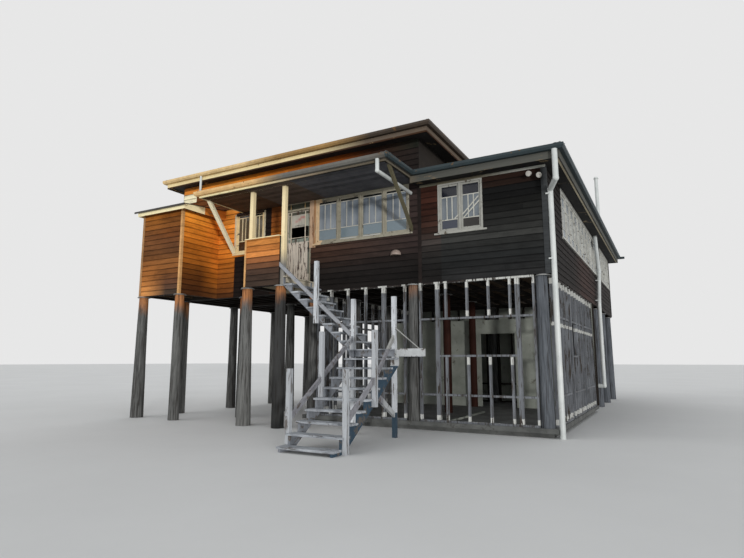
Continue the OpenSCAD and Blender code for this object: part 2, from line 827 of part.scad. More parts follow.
// Slanted strut from the wall to the beam, skewed a little along the wall
module strut(top_x, foot_x, b) {
    reach = porch_d;
    foot_z = floor_z + strut_foot_up;
    skew = atan((top_x - foot_x) / reach);
    difference() {
        translate([foot_x, 0, 0]) rotate(skew) side_shape([-b / 2, b / 2])
            polygon([[60, foot_z - 60], [60, foot_z + 60], [-reach - 60, beam_z + 140], [-reach - 60, beam_z + 20]]);
        block([foot_x - 500, foot_x + 500], [0, 300], [foot_z - 500, foot_z + 500]);
        block([foot_x - 500, foot_x + 500], [-reach - 500, -reach + 500], [beam_z, beam_z + 500]);
    }
}

module canopy_struts()
    color(cream_paint) centred() {
        left_top = canopy_left + left_strut_b / 2;
        right_top = -canopy_right - right_strut_b;
        strut(left_top, left_top - left_strut_lean, left_strut_b);
        strut(right_top, right_top - right_strut_lean, right_strut_b);
    }

// Windows
module front_windows()
    color(cream_paint) centred() each_front_window() window_frame($spec);

module side_windows()
    color(cream_paint) centred() each_right_window() window_frame($spec);

module rear_windows()
    color(cream_paint) centred() {
        each_left_window() window_frame($spec);
        each_back_window() window_frame($spec);
    }

module window_glass()
    color("lightblue") centred() {
        fanlight_glass();
        each_front_window() window_panes($spec);
        each_right_window() window_panes($spec);
        each_left_window() window_panes($spec);
        each_back_window() window_panes($spec);
    }

// Door: frame with fanlight, sill and the fixed hinge halves
module hinge_knuckle(z, r, bore)
    translate([hinge_x, hinge_y, z[0]]) difference() {
        cylinder(h = z[1] - z[0], r = r);
        if (bore > 0)
            translate([0, 0, -1]) cylinder(h = z[1] - z[0] + 2, r = bore);
    }

module door_frame() {
    jamb_y = [0, jamb_d];
    z1 = door_head_z;
    transom_z = floor_z + door_h;
    stop = 12;
    color(cream_paint) centred() {
        block([door_hole_x0, door_hole_x1], [0, wall_t], [wall_z, floor_z]);
        skirt([door_hole_x0, door_hole_x1], [0, skirt_t]);
        block([door_hole_x0, door_x], jamb_y, [floor_z, z1]);
        block([door_x + door_w, door_hole_x1], jamb_y, [floor_z, z1]);
        block([door_x, door_x + door_w], jamb_y, [z1 - head_b, z1]);
        block([door_x, door_x + door_w], jamb_y, [transom_z, transom_z + transom_b]);
        for (x = [[door_x, door_x + stop], [door_x + door_w - stop, door_x + door_w]])
            block(x, [jamb_d - leaf_t - leaf_gap - 20, jamb_d - leaf_t - leaf_gap], [floor_z, transom_z]);
        for (h = hinge_heights) {
            z = floor_z + h;
            block([hinge_x - 40, hinge_x - 1], [jamb_d, jamb_d + plate_t], [z, z + hinge_len * 0.3]);
            hinge_knuckle([z, z + hinge_len * 0.3], hinge_r, 0);
            hinge_knuckle([z, z + hinge_len], pin_r, 0);
        }
    }
}

module fanlight_glass()
    block([door_x, door_x + door_w], [jamb_d / 2, jamb_d / 2 + glass_t],
        [floor_z + door_h + transom_b, door_head_z - head_b]);

// Door leaf: stiles and rails, a sunk lower panel, one open pane hole and one glazed above it
leaf_x = [door_x + leaf_gap, door_x + door_w - latch_gap];
leaf_y = [jamb_d - leaf_t, jamb_d];
leaf_z = [floor_z + floor_gap, floor_z + door_h - leaf_gap];
stile_b = 95;
lock_rail_z = floor_z + 1180;
pane_bar_z = floor_z + 1680;
pane_x = [leaf_x[0] + stile_b, leaf_x[1] - stile_b];
upper_pane_z = [pane_bar_z + 30, leaf_z[1] - 110];

module front_door() {
    panel_z = [leaf_z[0] + 200, lock_rail_z];
    sunk = 12;
    color(cream_paint) centred() difference() {
        union() {
            block(leaf_x, leaf_y, leaf_z);
            for (h = hinge_heights) {
                z = floor_z + h + hinge_len * 0.3 + 0.5;
                block([hinge_x + 1, hinge_x + 40], [jamb_d, jamb_d + plate_t], [z, z + hinge_len * 0.4 - 1]);
                hinge_knuckle([z, z + hinge_len * 0.4 - 1], hinge_r, 0);
            }
        }
        for (h = hinge_heights)
            translate([hinge_x, hinge_y, floor_z + h]) cylinder(h = hinge_len, r = pin_r + pin_play);
        block(pane_x, [leaf_y[0] - 1, leaf_y[0] + sunk], panel_z);
        block(pane_x, [leaf_y[1] - sunk, leaf_y[1] + 1], panel_z);
        block(pane_x, [leaf_y[0] - 1, leaf_y[1] + 1], [lock_rail_z + 150, pane_bar_z]);
        block(pane_x, [leaf_y[0] - 1, leaf_y[1] + 1], upper_pane_z);
    }
}

module door_glass() {
    y = (leaf_y[0] + leaf_y[1] - glass_t) / 2;
    color("lightblue") centred() block(pane_x, [y, y + glass_t], upper_pane_z);
}

// Stair. The nosing lines of the two flights
function lower_nosing_y(k) = landing_y0 - (risers - k) * lower_going;
function lower_line(y) = landing_z + (y - landing_y0) * lower_slope;
function upper_nosing_x(k) = landing_x0 - (k - 1) * upper_going;
function upper_line(x) = landing_z + upper_rise + (landing_x0 - x) * upper_slope;

// Sawtooth string of the lower flight, its seats under the treads
module lower_string(x) {
    last = risers - 1;
    teeth = [for (k = [0:last], p = [0, 1])
        [(p == 0 ? lower_nosing_y(k) : lower_nosing_y(k + 1)) + nosing, k * lower_rise - tread_t]];
    foot_y = landing_y0 - (landing_z - low - lower_string_drop) / lower_slope;
    side_shape(x) polygon(concat([[lower_nosing_y(0) + nosing, low]], teeth,
        [[lower_nosing_y(risers) + nosing, landing_z - deck_t], [landing_beam_y, landing_z - deck_t],
            [landing_beam_y, lower_line(landing_beam_y) - lower_string_drop], [foot_y, low]]));
}

// Sawtooth string of the upper flight, with a tab up to the porch floor at its head, cut in for the stump's cap
module upper_string(y) {
    last = risers - 1;
    head_x = upper_nosing_x(risers) - nosing;
    teeth = [for (k = [1:last], p = [0, 1])
        [upper_nosing_x(k + p) - nosing, landing_z + k * upper_rise - tread_t]];
    difference() {
        front_shape(y) polygon(concat([[landing_left, upper_line(landing_left) - upper_string_drop],
            [landing_left, landing_z], [upper_nosing_x(1) - nosing, landing_z]], teeth,
            [[head_x, deck_z], [porch_x1, deck_z], [porch_x1, upper_line(porch_x1) - upper_string_drop]]));
        translate([front_cols[3], front_row_y, stump_top - joint_gap])
            cylinder(h = cap_t + 2 * joint_gap, r = cap_r + joint_gap);
    }
}

module stair_strings()
    color(stair_grey) centred() {
        lower_string([lower_x0, lower_x0 + string_t]);
        lower_string([lower_x1 - string_t, lower_x1]);
        upper_string([string_y0, upper_clear_y0]);
        upper_string([upper_clear_y1, upper_clear_y1 + string_t]);
    }

// Newels as [x, y, low end, high end] of the corner nearest the left front
newels = [
    [landing_left, bottom_newel_y, low, bottom_newel_top], [lower_x1, bottom_newel_y, low, bottom_newel_top],
    [landing_left, middle_newel_y, middle_newel_low, middle_newel_top],
    [lower_x1, middle_newel_y, middle_newel_low, middle_newel_top],
    [landing_left, landing_newel_y, low, landing_z + landing_newel_up],
    [landing_newel_x, landing_newel_y, low, landing_z + landing_newel_up],
    [flight_newel_x, string_y0 - newel_b, flight_newel_z, flight_newel_z + flight_newel_len]];

module newel_posts(grow = 0)
    for (n = newels)
        block([n[0], n[0] + newel_b], [n[1], n[1] + newel_b], [n[2] - grow, n[3] + grow]);

module stair_newels()
    color(stair_grey) centred() newel_posts();

// Treads notched round the newels, the top one also round the cap of the porch's right stump
module lower_treads()
    color(stair_grey) centred() difference() {
        for (k = [0:risers - 1])
            block([lower_x0 - tread_over, lower_x1 + tread_over], [lower_nosing_y(k), lower_nosing_y(k) + tread_d],
                [k * lower_rise - tread_t, k * lower_rise]);
        newel_posts(1);
    }

module upper_treads()
    color(stair_grey) centred() difference() {
        for (k = [1:risers - 1])
            block([upper_nosing_x(k + 1) - nosing, upper_nosing_x(k)], upper_tread_y,
                [landing_z + k * upper_rise - tread_t, landing_z + k * upper_rise]);
        newel_posts(1);
        translate([front_cols[3], front_row_y, 0]) cylinder(h = floor_z, r = cap_r + joint_gap);
    }

// The landing is notched round its newels and round the stump behind it
module stump_notch()
    translate([-mid_col, row_y(0), 0]) cylinder(h = floor_z, r = stump_foot_r - 10);

// The front beam runs on past the deck at the right
module landing_frame() {
    z = [landing_beam_z, landing_z - deck_t];
    ledger_t = 70;
    color(stair_grey) centred() {
        block([landing_left, deck_x1], [landing_beam_y, landing_beam_y + string_t], z);
        block([deck_x1, landing_x1], [landing_beam_y, landing_beam_y + string_t], [z[0], landing_z]);
        difference() {
            block([landing_left, deck_x1], [-ledger_t, 0], z);
            stump_notch();
        }
        for (x = [landing_left, landing_left + 520, deck_x1 - string_t])
            difference() {
                block([x, x + string_t], [landing_beam_y + string_t, -ledger_t], z);
                newel_posts(1);
            }
    }
}

module landing_deck()
    color(stair_grey) centred() difference() {
        block([landing_left, deck_x1], [landing_y0, 0], [landing_z - deck_t, landing_z]);
        newel_posts(1);
        stump_notch();
    }

// Leans its children along X by shift while Y runs over the span y
module lean_x(y, shift) {
    k = shift / (y[1] - y[0]);
    multmatrix([[1, k, 0, -k * y[0]], [0, 1, 0, 0], [0, 0, 1, 0]]) children();
}

// Low rails along the flights, the brace under the lower flight and two odd sticks
module lower_rail(x, y)
    side_shape([x, x + rail_t]) polygon([[y[0], lower_line(y[0]) + rail_up], [y[1], lower_line(y[1]) + rail_up],
        [y[1], lower_line(y[1]) + rail_up + rail_h], [y[0], lower_line(y[0]) + rail_up + rail_h]]);

module upper_rail(x)
    front_shape([string_y0 - rail_t, string_y0]) polygon([[x[0], upper_line(x[0]) + rail_up],
        [x[1], upper_line(x[1]) + rail_up], [x[1], upper_line(x[1]) + rail_up + rail_h],
        [x[0], upper_line(x[0]) + rail_up + rail_h]]);

module stair_rails() {
    inset = (newel_b - rail_t) / 2;
    span_0 = [bottom_newel_y + newel_b, middle_newel_y];
    span_1 = [middle_newel_y + newel_b, landing_newel_y];
    brace_y = [middle_newel_y + 260, landing_newel_y];
    brace_low = 320;
    brace_h = 110;
    stick_x = landing_newel_x + newel_b;
    stick_z = landing_z + 440;
    color(stair_grey) centred() {
        lower_rail(landing_left + inset, span_0);
        lower_rail(landing_left + inset, span_1);
        lower_rail(lower_x1 + inset, span_0);
        lean_x(span_1, -newel_inset) lower_rail(lower_x1 + inset, span_1);
        upper_rail([flight_newel_x + newel_b, landing_left]);
        upper_rail([porch_x1 - post_b, flight_newel_x]);
        lean_x(brace_y, -newel_inset + 70) side_shape([lower_x1 - string_t, lower_x1 + 5])
            polygon([[brace_y[0], lower_line(brace_y[0]) - lower_string_drop],
                [brace_y[0] + 120, lower_line(brace_y[0] + 120) - lower_string_drop],
                [brace_y[1], brace_low + brace_h], [brace_y[1], brace_low]]);
        front_shape([landing_newel_y, landing_beam_y + string_t + 20])
            polygon([[stick_x, stick_z], [stick_x, stick_z + 25], [landing_x1 - 130, landing_z],
                [landing_x1 - 155, landing_z]]);
    }
}

// Stud walls of the store below, drawn flat: plates, studs and short bars, each cut a hair short of its neighbours
fit = 0.3;
stump_room = cap_r + 5;
store_z = [slab_t, bearer_z];
store_hole = [-2600, -780];
side_hole_w = 890;

module member(x, z)
    translate([x[0], z[0]]) square([x[1] - x[0], z[1] - z[0]]);

module bars(x, rows)
    for (z = rows)
        member([x[0] + fit, x[1] - fit], [z, z + stud_b]);

function stud(x) = [x, x + stud_b];

// studs holds the two sides of each stud; the bay after stud number open takes the children instead of bars
module stud_frame(x, z, studs, open = -1)
    linear_extrude(stud_d) {
        member(x, [z[0], z[0] + stud_b]);
        member(x, [z[1] - stud_b, z[1]]);
        for (s = studs)
            member(s, [z[0] + stud_b + fit, z[1] - stud_b - fit]);
        for (i = [0:len(studs) - 2])
            if (i != open)
                bars([studs[i][1], studs[i + 1][0]], [nogging_low, nogging_high]);
        children();
    }

// Sill and head of a wide opening, with short studs under and over them
module open_bay(x, z, shorts) {
    starts = concat([x[0]], [for (s = shorts) s + stud_b]);
    ends = concat(shorts, [x[1]]);
    bars(x, [store_sill - stud_b, nogging_high]);
    for (s = shorts) {
        member(stud(s), [z[0] + stud_b + fit, store_sill - stud_b - fit]);
        member(stud(s), [nogging_high + stud_b + fit, z[1] - stud_b - fit]);
    }
    for (i = [0:len(shorts)])
        bars([starts[i], ends[i]], [nogging_low]);
}

function even_studs(x, step) =
    let (run = x[1] - x[0] - stud_b, count = ceil(run / step))
    [for (i = [0:count]) stud(x[0] + i * run / count)];

module upright(y) translate([0, y, 0]) rotate([90, 0, 0]) children();

module store_front_frame() {
    a = [store_x + stump_room, -mid_col - stump_room];
    b = [-mid_col + stump_room, -col_edge - stump_room];
    left_studs = concat([for (d = [0, 410, 930, 1460]) stud(a[0] + d)],
        [[a[0] + 1965, a[0] + 1965 + 2 * stud_b], stud(a[1] - stud_b)]);
    right_studs = [stud(b[0]), [store_hole[0] - 2 * stud_b, store_hole[0]],
        [store_hole[1], store_hole[1] + 2 * stud_b], stud(b[1] - stud_b)];
    color(stair_grey) centred() upright(stud_d) {
        stud_frame(a, store_z, left_studs);
        stud_frame(b, store_z, right_studs, 1)
            open_bay(store_hole, store_z, [-2455, -1930, -1420, -925]);
    }
}

module store_side_frames()
    color(stair_grey) centred()
        for (i = [0:store_rows - 1]) {
            span = [row_y(i) + stump_room, row_y(i + 1) - stump_room];
            hole = [span[0] + 2 * stud_b, span[0] + side_hole_w];
            rotate(90) upright(stud_d)
                if (i == 1)
                    stud_frame(span, store_z, [[span[0], hole[0]], [hole[1], hole[1] + 2 * stud_b],
                        stud(hole[1] + 480), stud(span[1] - stud_b)], 0)
                        open_bay(hole, store_z, [hole[0] + 380]);
                else
                    stud_frame(span, store_z, even_studs(span, 520));
            translate([store_x + stud_d / 2, 0, 0]) rotate(90) upright(stud_d)
                stud_frame(span, store_z, even_studs(span, 520));
        }

module store_back_frame()
    color(old_wood) centred()
        for (span = [[store_x + stump_room, -mid_col - stump_room], [-mid_col + stump_room, -col_edge - stump_room]])
            upright(store_d + stud_d / 2) stud_frame(span, store_z, even_studs(span, 530));

// Lined partition with a doorway, and the bottom plate left on the slab
module store_partition() {
    x = [store_x + stud_d / 2, -stud_d];
    doorway = [-3110, -2020];
    head = 2350;
    t = 60;
    partition_y = row_y(store_rows - 1) + stump_foot_r + partition_gap;
    color(cream_paint) centred() {
        difference() {
            block(x, [partition_y, partition_y + t], [slab_t, partition_top]);
            block(doorway, [partition_y - 1, partition_y + t + 1], [slab_t - 1, head]);
        }
        block([-2445, -2400], [stud_d, 2700], [slab_t, slab_t + stud_b]);
    }
}

// Lining on the back frame, fitted round the stumps
module store_back_lining()
    color(cream_paint) centred() difference() {
        block([store_x, 0], [store_d + stud_d / 2, store_d + stud_d / 2 + 12], [slab_t, stump_top]);
        for (x = stump_cols)
            translate([x, store_d, slab_t])
                cylinder(h = stump_top - slab_t, r1 = stump_foot_r + 3, r2 = stump_head_r + 3);
    }

// A strap that holds an upright pipe off a wall face at X 0
module pipe_clip(at, r, z)
    block([0, at[0]], [at[1] - r - 15, at[1] + r + 15], [z, z + 30]);

// Rain pipes: corner pipe, porch canopy pipe and the short spreader on to the box roof
module downpipes() {
    wing_bottom = wing_eave - gutter_h + 30;
    main_bottom = main_eave - gutter_h + 30;
    corner = [corner_pipe_r + 32, 20];
    corner_top = [fascia_out - 85, -fascia_out - corner_pipe_r - joint_gap];
    canopy_pipe_x = -canopy_right - 175;
    canopy_pipe_y = -canopy_reach - fascia_t - gutter_w / 2;
    spreader_x = box_x - 440;
    color("white") centred() {
        pipe_run([[corner_top[0], corner_top[1], wing_bottom], [corner_top[0], corner_top[1], wing_bottom - 650],
            [corner[0], corner[1], wing_bottom - 740], [corner[0], corner[1], low]], corner_pipe_r);
        for (z = [bearer_z + 305, wing_top - 700])
            pipe_clip(corner, corner_pipe_r, z);
        difference() {
            pipe_run([[canopy_pipe_x, canopy_pipe_y, wing_bottom], [canopy_pipe_x, canopy_pipe_y, wing_bottom - 280],
                [canopy_pipe_x, wall_t, wing_bottom - 300]], pipe_r);
            block([canopy_pipe_x - 100, canopy_pipe_x + 100], [0, 2 * wall_t], [floor_z, wing_eave]);
        }
        pipe_run([[spreader_x, -fascia_out - gutter_w / 2, main_bottom],
            [spreader_x, -fascia_out - gutter_w / 2, core_top - 370]], pipe_r * 0.8);
    }
}

module vent_stack() {
    leg = stack_leg_z;
    elbow_z = [floor_z - 100, floor_z + stack_socket_up];
    lower_y = stack_head_y + 50;
    slope = (stack_socket_y - lower_y) / (elbow_z[1] - elbow_z[0]);
    color("white") centred() {
        pipe_run([[stack_x, stack_y, stack_top - 60], [stack_x, stack_y, stack_run_z],
            [stack_x, stack_head_y, stack_run_z], [stack_x, stack_socket_y, elbow_z[1]],
            [stack_x, lower_y, elbow_z[0]], [stack_x, lower_y, leg], [-stack_leg_x, lower_y, leg],
            [-stack_leg_x, lower_y, low]], stack_r);
        translate([stack_x, stack_socket_y, elbow_z[1] - 70]) cylinder(h = 140, r = stack_r + 14);
        translate([stack_x, stack_y, stack_top - 60]) cylinder(h = 60, r1 = stack_r + 25, r2 = stack_r + 5);
        for (z = [elbow_z[0] + 60, floor_z + casement_sill - 255])
            pipe_clip([stack_x, lower_y + (z - elbow_z[0]) * slope], stack_r, z);
    }
}

// Pair of round lamps by the right corner, each a head on a short arm from the wall
module lamps() {
    color("#8c8c86") centred()
        for (at = [[-326, wing_top - 150], [-100, wing_top - 220]])
            translate([at[0], 0, at[1]]) {
                rotate([90, 0, 0]) cylinder(h = 20, r = 45);
                rotate([90, 0, 0]) cylinder(h = 90, r = 14);
                translate([0, -75, -20]) rotate([110, 0, 0]) cylinder(h = 90, r1 = 40, r2 = 62);
            }
}

// Half-round hood on the front wall
module wall_vent() {
    color(cream_paint) centred()
        translate([-3725, 0, 4140]) intersection() {
            sphere(145);
            block([-145, 145], [-145, 0], [0, 145]);
        }
}

lower_slab();
stumps();
stump_caps();
bearers();
joists();
upper_floor();
front_floors();
front_wall_left();
front_wall_over_door();
front_wall_centre();
front_wall_wing();
left_wall();
right_wall();
back_wall();
back_wall_wing();
wing_header_wall();
box_front_wall();
box_end_walls();
porch_half_walls();
main_roof();
wing_roof();
canopy_roof();
box_roof();
main_eaves();
lower_eaves();
gutters();
porch_posts();
canopy_beam();
canopy_struts();
front_windows();
side_windows();
rear_windows();
window_glass();
door_frame();
front_door();
door_glass();
stair_strings();
lower_treads();
upper_treads();
landing_frame();
landing_deck();
stair_newels();
stair_rails();
store_front_frame();
store_side_frames();
store_back_frame();
store_partition();
store_back_lining();
downpipes();
vent_stack();
lamps();
wall_vent();
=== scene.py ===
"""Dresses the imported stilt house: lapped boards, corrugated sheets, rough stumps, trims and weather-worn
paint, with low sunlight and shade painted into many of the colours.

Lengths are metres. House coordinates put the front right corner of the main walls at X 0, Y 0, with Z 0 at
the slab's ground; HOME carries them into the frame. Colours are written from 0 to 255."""
import json
import math
import random

import bpy
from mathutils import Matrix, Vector, noise


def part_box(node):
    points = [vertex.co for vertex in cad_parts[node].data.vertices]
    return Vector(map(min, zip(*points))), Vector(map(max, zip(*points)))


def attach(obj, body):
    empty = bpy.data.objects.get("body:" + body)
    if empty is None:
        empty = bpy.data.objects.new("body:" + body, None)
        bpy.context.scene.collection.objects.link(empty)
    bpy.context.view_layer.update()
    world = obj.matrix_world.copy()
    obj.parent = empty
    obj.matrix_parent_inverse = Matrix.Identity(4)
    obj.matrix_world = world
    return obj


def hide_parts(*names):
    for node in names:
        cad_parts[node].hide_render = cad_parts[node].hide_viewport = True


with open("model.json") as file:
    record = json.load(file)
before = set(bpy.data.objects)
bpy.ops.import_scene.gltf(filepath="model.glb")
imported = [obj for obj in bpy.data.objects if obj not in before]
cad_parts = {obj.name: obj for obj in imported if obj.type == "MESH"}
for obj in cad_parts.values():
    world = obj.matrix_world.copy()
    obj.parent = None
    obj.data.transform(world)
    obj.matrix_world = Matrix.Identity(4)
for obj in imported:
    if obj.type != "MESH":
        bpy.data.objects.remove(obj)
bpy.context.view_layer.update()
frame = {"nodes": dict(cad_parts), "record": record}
scene = bpy.context.scene

# Driving sizes of the house, the same as in the part
WIDTH, DEPTH, WING = 11.5, 13.56, 3.06
FLOOR, CORE_TOP, WING_TOP, BOX_TOP = 3.60, 7.12, 5.85, 5.85
WALL_LOW, STUMP_TOP, GROUND, SLAB = 3.385, 3.382, -0.10, 0.10
LEFT, CORE = -WIDTH, -WING
BOX_X, PORCH_Y, PORCH_X0, PORCH_X1 = LEFT + 1.64, -1.45, -7.36, -6.14
HALF_Y, HALF_X1, HALF_TOP = PORCH_Y - 0.05, PORCH_X1 - 0.105, FLOOR + 1.025
MAIN_EAVE, LOW_EAVE, FASCIA, OVER, SHEET_T = 7.30, 6.08, 0.385, 0.04, 0.04
CANOPY_X0, CANOPY_X1, CANOPY_Y = -8.925, -3.115, -1.735
MAIN_K, WING_K, CANOPY_K = (math.tan(math.radians(pitch)) for pitch in (17, 10.8, 13.3))
LAP = 0.1525
TURN = 2 * math.pi

HOME = Vector(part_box("front_wall_left")[0]) - Vector((LEFT, 0, WALL_LOW))
rng = random.Random(7)


def circle(sides):
    """Cosine and sine for each corner of a ring."""
    return [(math.cos(t), math.sin(t)) for t in (TURN * i / sides for i in range(sides))]


def placed(name, data):
    thing = bpy.data.objects.new(name, data)
    scene.collection.objects.link(thing)
    return thing


# Holes in the walls, as (from, to) along the wall and (sill, head)
def hole(u, wide, sill, high):
    return (u, u + wide), (sill, sill + high)


HIGH_SASH, LOW_SASH = (4.69, 1.26), (4.56, 1.24)
RECESS = hole(-9.15, 1.1, *HIGH_SASH)
BAND = hole(-6.20, 2.86, *HIGH_SASH)
CASEMENTS = hole(-2.57, 1.125, 4.565, 1.24)
RIGHT_WINDOWS = [hole(1.9, 7.8, *LOW_SASH), hole(10.2, 2.95, *LOW_SASH)]
LEFT_WINDOWS = [hole(y, 1.48, *HIGH_SASH) for y in (1.5, 5.6, 9.9)]
BACK_WINDOWS = [hole(LEFT + x, 1.48, *HIGH_SASH) for x in (1.3, 4.7)]
BACK_WING_WINDOW = hole(CORE + 0.9, 1.125, *LOW_SASH)
DOOR_HOLE = ((-7.30, -6.36), (WALL_LOW, 6.00))
WING_WALL, BOX_WALL = (WALL_LOW, WING_TOP), (WALL_LOW, BOX_TOP)
BOX_MEETS = ((LEFT, BOX_X), BOX_WALL)


class Build:
    """Collects faces in house coordinates and makes one piece of them.

    Each face has a tone and each point a paint colour, which the piece's material may read."""

    def __init__(self):
        self.points, self.paints, self.faces, self.tones = [], [], [], []
        self.paint = (1, 1, 1, 1)

    def add(self, points):
        start = len(self.points)
        self.points += [Vector(p) for p in points]
        self.paints += [self.paint] * len(points)
        return start

    def face(self, points, tone):
        start = self.add(points)
        self.faces.append(list(range(start, start + len(points))))
        self.tones.append(tone)

    def solid(self, low, high, tone=0.0):
        """Closed solid between two loops of as many points, both anticlockwise seen from the high end."""
        n = len(low)
        start = self.add(low)
        self.add(high)
        self.faces.append([start + i for i in reversed(range(n))])
        self.faces.append([start + n + i for i in range(n)])
        for i in range(n):
            j = (i + 1) % n
            self.faces.append([start + i, start + j, start + n + j, start + n + i])
        self.tones += [tone] * (n + 2)

    def box(self, x, y, z, tone=0.0):
        loop = [(x[0], y[0]), (x[1], y[0]), (x[1], y[1]), (x[0], y[1])]
        self.solid([(a, b, z[0]) for a, b in loop], [(a, b, z[1]) for a, b in loop], tone)

    def rod(self, a, b, r, sides=10):
        a, b = Vector(a), Vector(b)
        turn = (b - a).to_track_quat("Z", "Y")
        ring = [turn @ Vector((r * c, r * s, 0)) for c, s in circle(sides)]
        self.solid([a + p for p in ring], [b + p for p in ring])

    def grid(self, rows, tones=None, close=False):
        """Skin over rows of points; tones holds one value for each strip across."""
        start, n = len(self.points), len(rows[0])
        for row in rows:
            self.add(row)
        for r in range(len(rows) - 1):
            for i in range(n if close else n - 1):
                j = (i + 1) % n
                a = start + r * n
                self.faces.append([a + i, a + j, a + n + j, a + n + i])
                self.tones.append(tones[i] if tones else 0.0)

    def make(self, name, look, slot, body="house", replaces=(), smooth=False, bevel=0.0, thick=0.0):
        mesh = bpy.data.meshes.new(name)
        mesh.from_pydata([p + HOME for p in self.points], [], self.faces)
        mesh.attributes.new("tone", "FLOAT", "FACE").data.foreach_set("value", self.tones)
        paints = mesh.attributes.new("paint", "FLOAT_COLOR", "POINT")
        paints.data.foreach_set("color", [c for paint in self.paints for c in paint])
        mesh.polygons.foreach_set("use_smooth", [smooth] * len(self.faces))
        mesh.materials.append(look)
        piece = placed(name, mesh)
        if thick:
            shell = piece.modifiers.new("thickness", "SOLIDIFY")
            shell.thickness = thick
            shell.offset = 0
        if bevel:
            edge = piece.modifiers.new("edges", "BEVEL")
            edge.width = bevel
            edge.segments = 1
        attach(piece, body)
        if replaces:
            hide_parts(*replaces)
        return piece


def boxes(name, look, slot, spans, body="house", bevel=0.0):
    """One piece of plain boxes, each given by its X, Y and Z."""
    build = Build()
    for span in spans:
        build.box(*span)
    build.make(name, look, slot, body, bevel=bevel)


def srgb(r, g, b):
    return tuple(((c / 255 + 0.055) / 1.055) ** 2.4 if c > 10 else c / 3295 for c in (r, g, b)) + (1.0,)


def dimmed(colour, share):
    return tuple(share * c for c in colour[:3]) + (1,)


class Nodes:
    """A node tree, with short ways to add nodes, set them and link them."""

    def __init__(self, tree):
        self.tree = tree

    def put(self, socket, value):
        if isinstance(value, bpy.types.NodeSocket):
            self.tree.links.new(value, socket)
        else:
            socket.default_value = value

    def node(self, kind, inputs, **settings):
        """Adds a node, sets it, fills its inputs and gives back its outputs."""
        node = self.tree.nodes.new("ShaderNode" + kind)
        for name, value in settings.items():
            setattr(node, name, value)
        for name, value in inputs.items():
            self.put(node.inputs[name], value)
        return node.outputs

    def maths(self, kind, a, b=0.0):
        return self.node("Math", {0: a, 1: b}, operation=kind)[0]

    def plus(self, a, b):
        return self.maths("ADD", a, b)

    def less(self, a, b):
        return self.maths("SUBTRACT", a, b)

    def times(self, a, b):
        return self.maths("MULTIPLY", a, b)

    def span(self, value, low, high, to_low=0.0, to_high=1.0):
        ends = {"From Min": low, "From Max": high, "To Min": to_low, "To Max": to_high}
        return self.node("MapRange", {"Value": value, **ends})[0]

    def mix(self, share, a, b):
        return self.node("Mix", {"Factor": share, "A": a, "B": b}, data_type="RGBA")["Result"]

    def scaled(self, colour, share):
        return self.node("VectorMath", {0: colour, "Scale": share}, operation="SCALE")[0]


class Look(Nodes):
    """A material: grain and clouds in metres, each face's tone and each point's paint."""

    def __init__(self, name):
        self.material = bpy.data.materials.new(name)
        self.material.use_nodes = True
        super().__init__(self.material.node_tree)
        self.place = self.node("TexCoord", {})["Object"]

    def noise(self, scale, stretch=(1, 1, 1), detail=6, rough=0.6, warp=0.0):
        place = self.node("Mapping", {"Vector": self.place, "Scale": stretch})[0]
        pattern = {"Scale": scale, "Detail": detail, "Roughness": rough, "Distortion": warp}
        return self.node("TexNoise", {"Vector": place, **pattern})["Fac"]

    def tone(self):
        return self.node("Attribute", {}, attribute_name="tone")["Fac"]

    def paint(self):
        return self.node("Attribute", {}, attribute_name="paint")["Color"]

    def axis(self, letter):
        return self.node("SeparateXYZ", {0: self.place})[letter]

    def inside(self, limits, ragged=0.0):
        """1 where each coordinate is within its limits: low, high and perhaps half a soft edge's width."""
        share = None
        for letter, (low, high, *soft) in limits.items():
            edge = soft[0] if soft else 0.006
            home = HOME["XYZ".index(letter)]
            low, high = low + home, high + home
            along = self.axis(letter)
            if ragged:
                drift = self.times(self.noise(9, (1, 1, 1), 5, 0.7), ragged * 2)
                along = self.less(self.plus(along, drift), ragged)
            band = self.times(self.span(along, low - edge, low + edge),
                              self.span(along, high + edge, high - edge))
            share = band if share is None else self.times(share, band)
        return share

    def bump(self, height, strength, distance):
        return self.node("Bump", {"Strength": strength, "Distance": distance, "Height": height})[0]

    def surface(self, inputs):
        shader = self.tree.nodes["Principled BSDF"]
        for name, value in inputs.items():
            self.put(shader.inputs[name], value)
        return self.material


def area(colour, **limits):
    """A region of a material: its colour shows where the house coordinates lie within the limits."""
    return limits, srgb(*colour)


def in_wall(colour, x, z, *cover):
    """An area in the thickness of the front wall; on glass, cover is how much of it the colour hides."""
    return (*area(colour, X=x, Y=(-0.2, 0.3), Z=z), *cover)


LEVEL, UPRIGHT, EVEN = (1, 1, 26), (26, 26, 1), (6, 6, 6)


